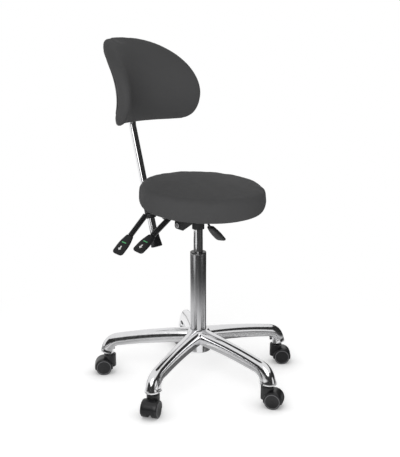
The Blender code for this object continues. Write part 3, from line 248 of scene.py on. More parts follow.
class Paint:
    def __init__(self, name):
        self.material = bpy.data.materials.new(name)
        self.material.use_nodes = True
        self.tree = self.material.node_tree
        self.shader = self.tree.nodes["Principled BSDF"]

    def node(self, kind, settings, inputs, output=0):
        made = self.tree.nodes.new("ShaderNode" + kind)
        for key, value in settings.items():
            setattr(made, key, value)
        for key, value in inputs.items():
            self.feed(made.inputs[key], value)
        return Wire(self, made.outputs[output])

    def feed(self, socket, value):
        if isinstance(value, Wire):
            self.tree.links.new(value.socket, socket)
        else:
            socket.default_value = value

    def where(self):
        return self.node("TexCoord", {}, {}, "Object")

    def stretched(self, scale):
        return self.node("Mapping", {}, {"Vector": self.where(), "Scale": scale})

    def noise(self, scale, detail=3.0, place=None):
        return self.node("TexNoise", {}, {"Vector": place or self.where(), "Scale": scale, "Detail": detail})

    def cells(self, scale):
        return self.node("TexVoronoi", {}, {"Vector": self.where(), "Scale": scale})

    def away(self, near, far, most=1.0):
        # rises from 0 to most between two distances from the middle of the floor
        length = self.node("VectorMath", {"operation": "LENGTH"}, {0: self.where()}, "Value")
        return self.node("MapRange", {"interpolation_type": "SMOOTHSTEP"}, {
            "Value": length, "From Min": near, "From Max": far, "To Max": most})

    def between(self, factor, dark, light):
        mix = self.node("Mix", {"data_type": "RGBA"}, {"Factor": factor}, 2)
        inputs = mix.socket.node.inputs
        inputs[6].default_value = (*dark, 1.0)
        inputs[7].default_value = (*light, 1.0)
        return mix

    def bump(self, height, distance, strength):
        return self.node("Bump", {}, {"Height": height, "Distance": distance, "Strength": strength})

    def done(self, **sockets):
        for key, value in sockets.items():
            self.feed(self.shader.inputs[key.replace("_", " ")], value)
        return self.material

    def finished(self, look, shadeBy, roughBy, reliefBy):
        # two shades mixed by one pattern, a roughness that grows with another, and a bump from a third
        return self.done(
            Base_Color=self.between(shadeBy, look["dark"], look["light"]),
            Metallic=look.get("metal", 0.0),
            Roughness=look["rough"] + look["uneven"] * roughBy,
            Specular_IOR_Level=look.get("shine", 0.5),
            Normal=self.bump(reliefBy, look["height"], look["relief"]),
        )


def scaled(shade, share):
    return tuple(share * value for value in shade)


def leatherette():
    # a fine pebble grain on charcoal cloth-backed vinyl, with a slow change of shade
    look = dict(
        dark=(0.056, 0.056, 0.057), light=(0.066, 0.066, 0.067), slow=9.0, grain=1500.0, grainShare=0.7,
        fine=2600.0, fineShare=0.5, height=0.00016, relief=0.55, rough=0.58, uneven=0.14, patch=40.0,
        shine=0.06,
    )
    paint = Paint("charcoal_leatherette")
    pebble = paint.cells(look["grain"]) * look["grainShare"]
    pebble = pebble + paint.noise(look["fine"], 2.0) * look["fineShare"]
    return paint.finished(look, paint.noise(look["slow"]), paint.noise(look["patch"]), pebble)


def polishedAluminium():
    # a buffed casting: faint waviness, thin polishing haze
    look = dict(
        dark=(0.66, 0.66, 0.67), light=(0.76, 0.76, 0.77), haze=55.0, hazePower=1.5, rough=0.09, uneven=0.10,
        wave=22.0, height=0.00045, relief=0.5, metal=1.0,
    )
    paint = Paint("polished_aluminium")
    haze = paint.noise(look["haze"], 5.0)
    return paint.finished(look, haze, haze ** look["hazePower"], paint.noise(look["wave"], 1.0))


def chromePlate(name, dark, light, roughness):
    # plated tube drawn along its length, with streaks a few millimetres wide
    look = dict(
        dark=dark, light=light, rough=roughness, uneven=0.8 * roughness, streaks=(240.0, 240.0, 5.0),
        wave=14.0, height=0.0002, relief=0.4, metal=1.0,
    )
    paint = Paint(name)
    streak = paint.noise(1.0, 4.0, paint.stretched(look["streaks"]))
    return paint.finished(look, streak, streak, paint.noise(look["wave"], 1.0))


def zincSteel():
    # zinc crystals of different brightness, and fine pits
    look = dict(
        dark=(0.52, 0.52, 0.53), light=(0.70, 0.70, 0.70), crystal=420.0, rough=0.26, uneven=0.16,
        patch=180.0, pits=900.0, height=0.0001, relief=0.4, metal=1.0,
    )
    paint = Paint("zinc_steel")
    crystal = paint.cells(look["crystal"])
    return paint.finished(look, crystal, paint.noise(look["patch"]), paint.noise(look["pits"]))


def mouldedBlack(name, shade, roughness, grain, height, shine=0.34):
    # dark plastic, paint or rubber with a spark-eroded grain and slightly rubbed patches
    look = dict(
        dark=scaled(shade, 0.8), light=scaled(shade, 1.35), rubbed=30.0, rough=roughness, uneven=0.16,
        height=height, relief=0.5, shine=shine,
    )
    paint = Paint(name)
    rubbed = paint.noise(look["rubbed"], 4.0)
    return paint.finished(look, rubbed, rubbed, paint.noise(grain, 2.0))


def plywood():
    # black-stained rotary-cut birch: long grain lines along X
    look = dict(
        dark=(0.020, 0.017, 0.015), light=(0.034, 0.029, 0.025), grain=(9.0, 160.0, 160.0), rough=0.60,
        uneven=0.18, height=0.0003, relief=0.5,
    )
    paint = Paint("birch_plywood")
    grain = paint.noise(1.0, 6.0, paint.stretched(look["grain"]))
    return paint.finished(look, grain, grain, grain)


def printed(name, shade):
    # ink that is a little worn
    look = dict(wear=700.0, worn=0.85, rough=0.40, uneven=0.15)
    paint = Paint(name)
    wear = paint.noise(look["wear"])
    return paint.done(
        Base_Color=paint.between(wear, scaled(shade, look["worn"]), shade),
        Roughness=look["rough"] + look["uneven"] * wear,
    )


leather = leatherette()
aluminium = polishedAluminium()
chrome = chromePlate("chrome", (0.80, 0.80, 0.81), (0.90, 0.90, 0.91), 0.05)
darkChrome = chromePlate("dark_chrome", (0.43, 0.43, 0.44), (0.56, 0.56, 0.57), 0.12)
zinc = zincSteel()
blackSteel = mouldedBlack("black_painted_steel", (0.020, 0.020, 0.021), 0.36, 1100.0, 0.00012)
blackPlastic = mouldedBlack("black_plastic", (0.010, 0.010, 0.011), 0.22, 1500.0, 0.00006)
gripPlastic = mouldedBlack("grip_plastic", (0.013, 0.013, 0.014), 0.34, 700.0, 0.00020, 0.16)
wheelNylon = mouldedBlack("wheel_nylon", (0.015, 0.015, 0.016), 0.36, 900.0, 0.00008)
# the pale grey of the ring on each wheel's face is a painted highlight along the rim
wheelRimHighlight = mouldedBlack("wheel_rim_painted_highlight", (0.105, 0.105, 0.11), 0.36, 900.0, 0.00006)
rubber = mouldedBlack("sleeve_rubber", (0.016, 0.016, 0.017), 0.20, 1300.0, 0.00004)
birch = plywood()
whiteInk = printed("mark_white", (0.80, 0.80, 0.80))
greenInk = printed("mark_green", (0.08, 0.42, 0.16))
print("stage: materials made")


# Five-star base

starBase = dict(
    arms=5, firstAngle=-90.0, stemCircle=0.289, axisHeight=0.171, bendAngle=79.0, noseRadius=0.063,
    noseReach=0.026, rimHeight=0.073, root=0.029, rootHalf=0.024, waistHalf=0.0165, bendHalf=0.0185,
    noseHalf=0.0212, rootDepth=0.041, bendDepth=0.034, rimDepth=0.039, wall=0.0045, crown=0.002,
    shoulderRoot=0.026, shoulderRim=0.028, powerRoot=2.2, powerRim=2.1, bendShare=0.4, roofShare=0.4,
    lip=0.0014, roofCorner=0.003, flare=0.0016, flareStart=0.80, hubRadius=0.040, hubLip=0.0305,
    hubTop=0.170, hubShoulder=0.158, hubBottom=0.0985, hubFillets=(0.0008, 0.004, 0.006, 0.006, 0.0008),
    bossRadius=0.0125, bossLow=0.0685, bossHigh=0.112, bossFillet=0.001, boreTop=0.0253, boreLow=0.0238,
)


def armTurn(index):
    return turnAbout("Z", starBase["firstAngle"] + 360.0 / starBase["arms"] * index)


def starArmRows():
    # an inverted U carried along a falling parabola and then down an arc to the caster socket;
    # its top is half a superellipse, |across/half|^n + |(drop - inward)/drop|^n = 1
    b = starBase
    bend = math.radians(b["bendAngle"])
    noseCentre = b["stemCircle"] + b["noseReach"] - b["noseRadius"]
    bendR = noseCentre + b["noseRadius"] * math.cos(bend)
    bendZ = b["rimHeight"] + b["noseRadius"] * math.sin(bend)
    slope = -1.0 / math.tan(bend)
    sag = (b["axisHeight"] - bendZ + slope * bendR) / bendR**2
    u = np.linspace(0.0, 1.0, 40, endpoint=False)
    r = partWay(b["root"], bendR, u)
    fall = slope + 2.0 * sag * (r - bendR)
    straight = np.stack([r, bendZ + slope * (r - bendR) + sag * (r - bendR) ** 2], 1)
    inward = np.stack([fall, -np.ones_like(fall)], 1) / np.hypot(fall, 1.0)[:, None]
    half = partWay(b["waistHalf"], b["rootHalf"], (1 - u) ** 2) + (b["bendHalf"] - b["waistHalf"]) * u**2
    w = np.linspace(0.0, 1.0, 32)
    outward = np.stack([np.cos(bend * (1 - w)), np.sin(bend * (1 - w))], 1)
    flare = b["flare"] * smoothStep(b["flareStart"], 1.0, w)
    nose = np.array([noseCentre, b["rimHeight"]]) + (b["noseRadius"] + flare)[:, None] * outward
    path = np.concatenate([straight, nose])
    inward = np.concatenate([inward, -outward])
    half = np.concatenate([half, partWay(b["bendHalf"], b["noseHalf"], w) + flare])
    depth = np.concatenate([
        partWay(b["rootDepth"], b["bendDepth"], u), partWay(b["bendDepth"], b["rimDepth"], w),
    ])
    share = np.concatenate([b["bendShare"] * u, partWay(b["bendShare"], 1.0, w)])
    drop = partWay(b["shoulderRoot"], b["shoulderRim"], share)
    power = 2.0 / partWay(b["powerRoot"], b["powerRim"], share)[:, None]
    turn = np.linspace(math.pi, 0.0, 33)
    across = half[:, None] * signedPower(np.cos(turn), power)
    sunk = 1.0 - np.abs(np.sin(turn)) ** power
    top = np.stack([across, (drop + b["crown"])[:, None] * sunk - b["crown"]], -1)
    inner, roof = half - b["wall"], b["wall"] + b["roofShare"] * drop
    corners = np.array([
        (half, drop), (half, depth), (inner, depth), (inner - b["crown"], roof), (b["crown"] - inner, roof),
        (-inner, depth), (-half, depth), (-half, drop),
    ]).transpose(2, 0, 1)
    lip, roofCorner = b["lip"], b["roofCorner"]
    below = filleted(corners, [lip, lip, roofCorner, roofCorner, lip, lip], 6)
    section = np.concatenate([top, below[:, 1:-1]], axis=1)
    flat = path[:, None, :] + inward[:, None, :] * section[..., 1:]
    return grid(flat[..., 0], section[..., 0], flat[..., 1])


def makeStarBase():
    b = starBase
    arm = starArmRows()
    hub = filleted([
        (b["boreTop"], b["hubTop"]), (b["hubLip"], b["hubTop"]), (b["hubRadius"], b["hubShoulder"]),
        (b["hubRadius"], b["hubBottom"]), (b["boreLow"], b["hubBottom"]),
    ], b["hubFillets"], 6, closed=True)
    boss = rodProfile(b["bossRadius"], b["bossLow"], b["bossHigh"], b["bossFillet"])
    sheets = [closedSheet(placed(turnedRows(hub, 96), columnFoot), "ring")]
    for index in range(b["arms"]):
        turn = columnFoot @ armTurn(index)
        sheets.append(closedSheet(placed(arm, turn), "flat"))
        socket = turn @ shift(b["stemCircle"], 0.0, 0.0)
        sheets.append(closedSheet(placed(turnedRows(boss, 40), socket), "fan"))
    show("star_base_casting", sheets, [aluminium], "base", "star_base")


makeStarBase()
print("stage: star base made")


# Gas lift

gasLift = dict(
    radius=0.025, footRadius=0.0235, wall=0.002, top=0.4165, bottom=0.104, floor=0.004, rodHole=0.0053,
    taperTop=0.170, columnFillets=(0.0006, 0.0016, 0.004, 0.001, 0.0004, 0.0004, 0.002, 0.004),
    collar=0.0030, bushLength=0.045, bushFillets=(0.0008, 0.0014, 0.0004, 0.0002, 0.0008, 0.0008),
    tubeRadius=0.0143, tipRadius=0.0136, tubeWall=0.0016, tubeEnd=0.005, tubeBottom=0.200, tubeTop=0.533,
    tipLow=0.493, tubeFillet=0.0008, valveHole=0.0035,
)


def makeGasLift():
    # three turned shells: the column, the bush with its collar over the column's rim, and the lift tube
    g = gasLift
    inner, footInner = g["radius"] - g["wall"], g["footRadius"] - g["wall"]
    bottom, floorTop = g["bottom"], g["bottom"] + g["floor"]
    column = filleted([
        (inner, g["top"]), (g["radius"], g["top"]), (g["radius"], g["taperTop"]), (g["footRadius"], bottom),
        (g["rodHole"], bottom), (g["rodHole"], floorTop), (footInner, floorTop), (inner, g["taperTop"]),
    ], g["columnFillets"], 6, closed=True)
    turnedPiece("column_sleeve", column, columnFoot, darkChrome, "base", "column_tube",
                columns=96)
    bore, liner = g["tubeRadius"] + axleGap, inner - axleGap
    under, bushFoot = g["top"] + axleGap, g["top"] - g["bushLength"]
    bush = filleted([
        (bore, under + g["collar"]), (g["radius"], under + g["collar"]), (g["radius"], under),
        (liner, under), (liner, bushFoot), (bore, bushFoot),
    ], g["bushFillets"], 4, closed=True)
    turnedPiece("column_bush", bush, columnFoot, blackPlastic, "base", "guide_bush")
    tubeInner, tipInner = g["tubeRadius"] - g["tubeWall"], g["tipRadius"] - g["tubeWall"]
    low, lowEnd, highEnd = g["tubeBottom"], g["tubeBottom"] + g["tubeEnd"], g["tubeTop"] - g["tubeEnd"]
    tube = filleted([
        (g["valveHole"], g["tubeTop"]), (g["tipRadius"], g["tubeTop"]), (g["tubeRadius"], g["tipLow"]),
        (g["tubeRadius"], low), (g["rodHole"], low), (g["rodHole"], lowEnd), (tubeInner, lowEnd),
        (tubeInner, g["tipLow"]), (tipInner, highEnd), (g["valveHole"], highEnd),
    ], g["tubeFillet"], 4, closed=True)
    turnedPiece("lift_tube", tube, columnFoot, chrome, "carrier", "pressure_tube", columns=96)


makeGasLift()
print("stage: gas lift made")


# Casters

caster = dict(
    trail=0.020, angles=(-61.0, -46.0, 80.0, 140.0, 208.0), wheelRadius=0.025, wheelWidth=0.019, web=0.011,
    wheelGap=0.0008, pocket=0.0265, hood=0.0295, lowAngle=-14.0, highAngle=192.0, edge=0.0006, roll=0.013,
    rollDrop=0.0038, innerRoll=0.6, boss=0.009, neckRadius=0.0195, neckTop=0.0655, neckFillet=0.0022,
    neckFall=0.15, neckCrown=(0.02, 0.3, 0.6), neckFloor=(0.75, 0.5, 0.25, 0.02), dish=0.001,
    dishRadius=0.0212, ringRadius=0.0224, ringStep=0.0006, ringEdge=0.0004, capRing=(0.0040, 0.0052, 0.0064),
    capRise=0.0006, faceSkin=0.0015, axle=0.0043,
    wheelFillets=(0.0006, 0.0006, 0.0006, 0.0012, 0.0005, 0.0005, 0.0004, 0.0019, 0.0012, 0.0003, 0.0003),
)


def hoodSheets():
    # a rounded band carried round the axle, a middle web, and the neck that drops onto the band
    c = caster

    def roundAxle(radius, side, angle):
        return grid(c["trail"] + radius * np.cos(angle), side, c["wheelRadius"] + radius * np.sin(angle))

    halfWidth = c["web"] / 2.0 + c["wheelGap"] + c["wheelWidth"]
    middle, halfWall = (c["hood"] + c["pocket"]) / 2.0, (c["hood"] - c["pocket"]) / 2.0
    ends = roundedBox(halfWall, halfWidth, c["edge"], 5)
    left, right = np.split(ends, 2)
    strip = np.linspace(-1.0, 1.0, 25)[1:-1, None] * np.array([0.0, halfWidth - c["edge"]])
    band = np.concatenate([left, strip[::-1] - (halfWall, 0.0), right, strip + (halfWall, 0.0)])
    past = np.clip((np.abs(band[:, 1]) - halfWidth + c["roll"]) / c["roll"], 0.0, 1.0)
    rolled = c["rollDrop"] * (1.0 - np.sqrt(1.0 - past**2))
    band[:, 0] -= np.where(band[:, 0] > 0.0, rolled, c["innerRoll"] * rolled)
    angle = np.radians(np.linspace(c["lowAngle"], c["highAngle"], 72))
    hood = roundAxle(middle + band[:, 0], band[:, 1], angle[:, None])
    back = np.radians(np.linspace(c["highAngle"], 360.0 + c["lowAngle"], 24))
    reach = np.concatenate([np.full(angle.shape, middle), np.full(back.shape, c["boss"])])
    web = roundAxle(reach, c["web"] * np.array([[-0.5], [0.5]]), np.concatenate([angle, back]))
    fillet = np.linspace(0.0, quarterTurn, 6)
    rim, drop = c["neckRadius"] - c["neckFillet"], c["neckTop"] - c["neckFillet"]
    crown, fall = rim * np.array(c["neckCrown"]), np.linspace(c["neckFall"], 1.0, 6)
    ring = np.concatenate([
        crown, rim + c["neckFillet"] * np.sin(fillet), np.full(fall.shape, c["neckRadius"]),
        c["neckRadius"] * np.array(c["neckFloor"]),
    ])[:, None]
    x, y = ring * np.cos(circle(48)), ring * np.sin(circle(48))
    level = c["wheelRadius"] + np.sqrt(np.maximum(0.0, middle**2 - (x - c["trail"]) ** 2))
    top = np.concatenate([np.full(crown.shape, c["neckTop"]), drop + c["neckFillet"] * np.cos(fillet)])
    sides = slice(len(top), len(top) + len(fall))
    level[sides] = partWay(drop, level[sides], fall[:, None])
    level[:len(top)] = top[:, None]
    return [closedSheet(hood, "flat"), closedSheet(web, "flat"), closedSheet(grid(x, y, level), "fan")]


def wheelRows():
    # a dished disc inside a ring painted pale as a highlight along the rim, and a rounded tread, turned
    # about the axle
    c = caster
    inner = c["web"] / 2.0 + c["wheelGap"]
    face = inner + c["wheelWidth"]
    low, tread = face - c["dish"], face - c["ringStep"]
    capInner, capMiddle, capOuter = c["capRing"]
    outer = filleted([
        (pole, low), (capInner, low), (capMiddle, low + c["capRise"]), (capOuter, low),
        (c["dishRadius"] - c["dish"], low), (c["dishRadius"], face), (c["ringRadius"], face),
        (c["ringRadius"] + c["ringStep"], tread), (c["wheelRadius"], tread), (c["wheelRadius"], inner),
        (c["axle"], inner), (c["axle"], low - c["faceSkin"]), (pole, low - c["faceSkin"]),
    ], c["wheelFillets"], 5)
    radius, height = outer[:-1].T
    # faces on the ring take the pale paint: a painted highlight
    onRimHighlight = (radius > c["dishRadius"] - c["ringStep"]) & (radius < c["ringRadius"] + c["ringEdge"])
    return turnedRows(outer, 64)[..., [0, 2, 1]], (onRimHighlight & (height > low)).astype(int)


def makeCasters():
    c = caster
    parts = hoodSheets()
    wheel, bands = wheelRows()
    axleLine = shift(c["trail"], 0.0, c["wheelRadius"])
    for index, trailAngle in enumerate(c["angles"]):
        name = f"caster_{index + 1}"
        foot = armTurn(index) @ shift(starBase["stemCircle"], 0.0, 0.0)
        place = columnFoot @ Matrix.Translation(foot.translation) @ turnAbout("Z", trailAngle)
        sheets = [(placed(points, place), faces, paintOf) for points, faces, paintOf in parts]
        show(f"{name}_hood", sheets, [blackPlastic], name, f"{name}_housing")
        for side, turn in (("left", 0.0), ("right", 180.0)):
            spot = place @ axleLine @ turnAbout("Z", turn)
            sheet = closedSheet(placed(wheel, spot), "fan", bands)
            show(f"{name}_tyre_{side}", [sheet], [wheelNylon, wheelRimHighlight], f"{name}_{side}",
                 f"{name}_wheel_{side}")


makeCasters()
print("stage: casters made")


# Levers

lever = dict(
    rodRadius=0.0035, bend=0.0055, trunnion=0.003, trunnionFillet=0.0006, lugs=0.010, toePast=0.0032,
    toeCorner=0.0018, sleeveStart=0.005, sleeveLength=0.084, ribs=18, ridge=0.0090, groove=0.0054,
    ribPower=0.7, bore=0.0038, paddleLength=0.073, rootHalf=0.0115, endHalf=0.0200, swellEnd=0.6,
    thickness=0.011, thinning=0.35, corner=0.010, tip=0.15, endRound=0.003, endThin=0.75, acrossPower=0.5,
    upPower=0.77, socket=0.020,
)
leverPlaces = dict(
    gas_lever=dict(
        pivot=(0.016, -0.024, 0.5450), elbow=(0.021, 0.5045), drop=45.0, paddle=0.010, side=1.0, tail=0.016,
        twist=-8.0, body="gas_lever",
    ),
    seat_tilt=dict(
        pivot=(-0.024, 0.085, 0.5255), elbow=(-0.037, 0.5205), drop=31.0, paddle=0.0893, side=-1.0,
        tail=0.006, twist=14.0, body="seat_tilt_lever",
    ),
    back_tilt=dict(
        pivot=(-0.024, 0.150, 0.5265), elbow=(-0.077, 0.5265), drop=40.0, paddle=0.0893, side=-1.0,
        tail=0.006, twist=14.0, body="back_tilt_lever",
    ),
)


def rodSheets(name, place, spot):
    # a round rod bent twice in one plane, its cross trunnion, and the gas lever's toe over the valve pin
    radius, side, tail = lever["rodRadius"], spot["side"], spot["tail"]
    corner = np.array([spot["elbow"][0] - spot["pivot"][0], spot["elbow"][1] - spot["pivot"][2]])
    fall = math.radians(spot["drop"])
    along = np.array([side * math.cos(fall), -math.sin(fall)])
    end = corner + along * (spot["paddle"] + lever["socket"])
    path = filleted([(-side * tail, 0.0), (0.0, 0.0), corner, end], lever["bend"], 8)
    section = radius * np.stack([np.cos(circle(24)), np.sin(circle(24))], 1)
    rod = grid(*sweptRows(path, section))
    trunnion = rodProfile(lever["trunnion"], -lever["lugs"], lever["lugs"], lever["trunnionFillet"])
    sheets = [
        closedSheet(placed(rod, place), "fan"),
        closedSheet(placed(turnedRows(trunnion, 24), place @ turnAbout("X", 90.0)), "fan"),
    ]
    if name == "gas_lever":
        reach = lever["toePast"] - spot["pivot"][1]
        toe = roundedBox(radius, reach / 2.0 + radius / 2.0, lever["toeCorner"])
        toe = toe + np.array([-tail, reach / 2.0 - radius / 2.0])
        sheets.append(closedSheet(placed(slab(toe, -radius, radius), place), "flat"))
    return sheets, corner


def sleeveRows():
    # rounded ribs: radius = groove + (ridge - groove) * |sin|^power along the sleeve
    along = np.linspace(0.0, lever["sleeveLength"], lever["ribs"] * 10 + 1)
    wave = np.abs(np.sin(math.pi * lever["ribs"] * along / lever["sleeveLength"])) ** lever["ribPower"]
    skin = np.stack([partWay(lever["groove"], lever["ridge"], wave), along], 1)
    ends = np.array([(lever["bore"], lever["sleeveLength"]), (lever["bore"], 0.0)])
    return turnedRows(np.concatenate([skin, ends]), 32)


def paddleWidth(t):
    # half the width: swells as a sine from the root, and is rounded at the far corners
    room = (1.0 - t) * lever["paddleLength"]
    swell = np.sin(quarterTurn * np.minimum(1.0, t / lever["swellEnd"]))
    short = np.maximum(0.0, lever["corner"] - room)
    rounding = np.sqrt(lever["corner"] ** 2 - short**2)
    return partWay(lever["rootHalf"], lever["endHalf"], swell) - lever["corner"] + rounding


def paddleHeight(t):
    # half the thickness, thinner towards the far end by the cube of the way along
    return lever["thickness"] / 2.0 * (1.0 - lever["thinning"] * t**3)


def paddleRows():
    # superellipse rings along the handle, |across/w|^4 + |up/h|^2.6 = 1, thinned and rounded at both ends
    tip = lever["tip"]
    t = np.concatenate([
        np.linspace(0.0, 1.0 - tip, 36, endpoint=False), 1.0 - tip * np.linspace(1.0, 0.0, 24) ** 2,
    ])
    angle = circle(56)
    nearEnd = np.minimum(t, 1.0 - t) * lever["paddleLength"]
    ends = np.sqrt(1.0 - np.maximum(0.0, 1.0 - nearEnd / lever["endRound"]) ** 2 * lever["endThin"])
    y = paddleWidth(t)[:, None] * signedPower(np.cos(angle), lever["acrossPower"])
    z = (paddleHeight(t) * ends)[:, None] * signedPower(np.sin(angle), lever["upPower"])
    return grid(t[:, None] * lever["paddleLength"], y, z)


paddleMark = dict(
    at=0.66, barAt=0.42, half=0.0115, shaft=0.0020, head=0.0060, headLength=0.0065, bar=0.0080,
    barHalf=0.0017, barCorner=0.0010, sunk=0.0006, proud=0.00012,
)


def markSheets(place):
    # a plain double arrow along the handle and a short bar before it, printed on the upper face
    m = paddleMark
    shaft, head, neck = m["shaft"], m["head"], m["half"] - m["headLength"]
    arrow = np.array([
        (m["half"], 0.0), (neck, head), (neck, shaft), (-neck, shaft), (-neck, head),
        (-m["half"], 0.0), (-neck, -head), (-neck, -shaft), (neck, -shaft), (neck, -head),
    ])
    bar = roundedBox(m["barHalf"], m["bar"], m["barCorner"], 3)
    sheets = []
    for outline, share, ink in ((arrow, m["at"], 0), (bar, m["barAt"], 1)):
        top = float(paddleHeight(np.array(share)))
        outline = outline + np.array([share * lever["paddleLength"], 0.0])
        rows = slab(outline, top - m["sunk"], top + m["proud"])
        sheets.append(closedSheet(placed(rows, place), "flat", [ink]))
    return sheets


def makeLevers():
    ribbed, handle = sleeveRows(), paddleRows()
    for name, spot in leverPlaces.items():
        body, side = spot["body"], spot["side"]
        place = columnFoot @ Matrix.Translation(spot["pivot"])
        sheets, corner = rodSheets(name, place, spot)
        show(f"{name}_bent_rod", sheets, [blackSteel], body, f"{name}_rod")
        lie = turnAbout("Y", spot["drop"] * side)
        if side < 0.0:
            lie = lie @ turnAbout("Z", 180.0)
        elbow = place @ shift(corner[0], 0.0, corner[1]) @ lie
        if f"{name}_sleeve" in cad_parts:
            upright = elbow @ shift(lever["sleeveStart"], 0.0, 0.0) @ turnAbout("Y", 90.0)
            sheet = closedSheet(placed(ribbed, upright), "ring")
            show(f"{name}_ribs", [sheet], [rubber], body, f"{name}_sleeve")
        grip = elbow @ shift(spot["paddle"], 0.0, 0.0) @ turnAbout("X", spot["twist"] * side)
        sheet = closedSheet(placed(handle, grip), "fan")
        show(f"{name}_grip", [sheet], [gripPlastic], body, f"{name}_paddle")
        show(f"{name}_mark", markSheets(grip), [whiteInk, greenInk], body, f"{name}_paddle")


makeLevers()
print("stage: levers made")


# Pins and screws

pivotPin = dict(
    radius=0.005, head=0.0075, headHeight=0.004, fillets=(0.001, 0.0004, 0.0004, 0.0022), seatSpan=0.0388,
    backSpan=0.0343, backY=0.118, backZ=0.5185,
)
screw = dict(
    radius=0.003, head=0.006, headHeight=0.004, bite=0.009, recess=0.0022, recessDepth=0.0018,
    fillets=(0.0006, 0.0004, 0.0004, 0.0026, 0.0003, 0.0003), seatPlate=0.003, backPlate=0.004,
)
seatPlace = dict(pivotY=0.050, pivotZ=0.501, tilt=3.9, centreY=-0.0613)
seatPivot = columnFoot @ shift(0.0, seatPlace["pivotY"], seatPlace["pivotZ"])
seatFrame = seatPivot @ turnAbout("X", seatPlace["tilt"]) @ shift(0.0, seatPlace["centreY"], 0.0)
backPivot = columnFoot @ shift(0.0, pivotPin["backY"], pivotPin["backZ"])


def pinProfile(span):
    # a plain pin with a flat round head below its lower end
    p = pivotPin
    low = -span - p["headHeight"]
    return filleted([
        (pole, span), (p["radius"], span), (p["radius"], -span), (p["head"], -span), (p["head"], low),
        (pole, low),
    ], p["fillets"], 6)


def screwProfile(plate):
    # a domed head with a round recess, its underside at z = 0
    s = screw
    high, low = plate + s["bite"], -axleGap - s["headHeight"]
    floor = low + s["recessDepth"]
    return filleted([
        (pole, high), (s["radius"], high), (s["radius"], -axleGap), (s["head"], -axleGap), (s["head"], low),
        (s["recess"], low), (s["recess"], floor), (pole, floor),
    ], s["fillets"], 5)


def makePins():
    across = turnAbout("Y", 90.0)
    for name, pivot in (("seat", seatPivot), ("back", backPivot)):
        turnedPiece(f"{name}_pivot_rivet", pinProfile(pivotPin[f"{name}Span"]), pivot @ across, zinc,
                    "carrier", f"{name}_pivot_pin", "fan", 40)
    names = [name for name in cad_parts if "_screw_" in name]
    for name in names:
        low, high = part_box(name)
        middle = (low + high) / 2.0
        onSeat = name.startswith("seat")
        plate = screw["seatPlate"] if onSeat else screw["backPlate"]
        halfLength = (plate + screw["bite"] - axleGap - screw["headHeight"]) / 2.0
        turn = turnAbout("X", seatPlace["tilt"] if onSeat else 90.0)
        place = Matrix.Translation(middle) @ turn @ shift(0.0, 0.0, -halfLength)
        body = "seat" if onSeat else "backrest"
        turnedPiece(f"{name}_domed", screwProfile(plate), place, zinc, body, name, "fan", 28)


makePins()
print("stage: pins and screws made")


# Back bar and its end cap

backBar = dict(
    lean=15.9, width=0.023, depth=0.016, corner=0.0059, atY=0.2234, atZ=0.5185, below=0.0957, above=0.276,
    bendLength=0.0056, topLength=0.120, endStep=0.0006, capTop=-0.0837, capLength=0.0416, capMouthX=0.0138,
    capMouthY=0.0103, capEndX=0.0200, capEndY=0.0095, capFlareStart=0.12, capStraight=0.35, capRound=0.0022,
    capShrink=0.0018, capCorner=0.62,
)


def makeBackBar():
    # a rounded oblong carried along the bent path, and a cap whose oblong widens downwards
    b = backBar
    place = columnFoot @ shift(0.0, b["atY"], b["atZ"]) @ turnAbout("X", -b["lean"])
    lean = math.radians(b["lean"])
    upwards = np.array([-math.sin(lean), math.cos(lean)])
    corner = np.array([0.0, b["above"]])
    path = filleted([(0.0, -b["below"]), corner, corner + b["topLength"] * upwards], b["bendLength"], 16)
    ends = np.array([path[0] + (0.0, b["endStep"]), path[-1] - b["endStep"] * upwards])
    path = np.concatenate([path[:1], ends[:1], path[1:-1], ends[1:], path[-1:]])
    section = roundedBox(b["depth"] / 2.0, b["width"] / 2.0, b["corner"], 8)
    flatY, side, flatZ = sweptRows(path, section)
    bar = placed(grid(side, flatY, flatZ), place)
    show("back_bar_tube", [closedSheet(bar, "flat")], [chrome], "backrest", "back_bar")
    t = np.linspace(0.0, 1.0, 28)
    flare = b["capStraight"] * t + (1.0 - b["capStraight"]) * smoothStep(b["capFlareStart"], 1.0, t)
    nearEnd = np.minimum(t, 1.0 - t) * b["capLength"]
    soft = np.sqrt(1.0 - np.maximum(0.0, 1.0 - nearEnd / b["capRound"]) ** 2)
    shrink = b["capShrink"] * (1.0 - soft)
    halfX = partWay(b["capMouthX"], b["capEndX"], flare) - shrink
    halfY = partWay(b["capMouthY"], b["capEndY"], t) - shrink
    outline = roundedBox(1.0, 1.0, b["capCorner"], 8)
    level = (b["capTop"] - t * b["capLength"])[:, None]
    cap = placed(grid(halfX[:, None] * outline[:, 0], halfY[:, None] * outline[:, 1], level), place)
    show("back_bar_cap", [closedSheet(cap, "flat")], [blackPlastic], "backrest", "bar_end_cap")


makeBackBar()
print("stage: back bar made")


# Cushions: a slightly small cover is blown up by a cloth simulation and then held near its form

coverCloth = dict(voxel=0.005, pressure=4.0, stiffness=15.0, frames=20, limit=0.004, smoothing=0.5)


def evaluated(holder):
    return holder.evaluated_get(bpy.context.evaluated_depsgraph_get())


def pointsOf(mesh):
    flat = np.zeros(len(mesh.vertices) * 3)
    mesh.vertices.foreach_get("co", flat)
    return flat.reshape(-1, 3)


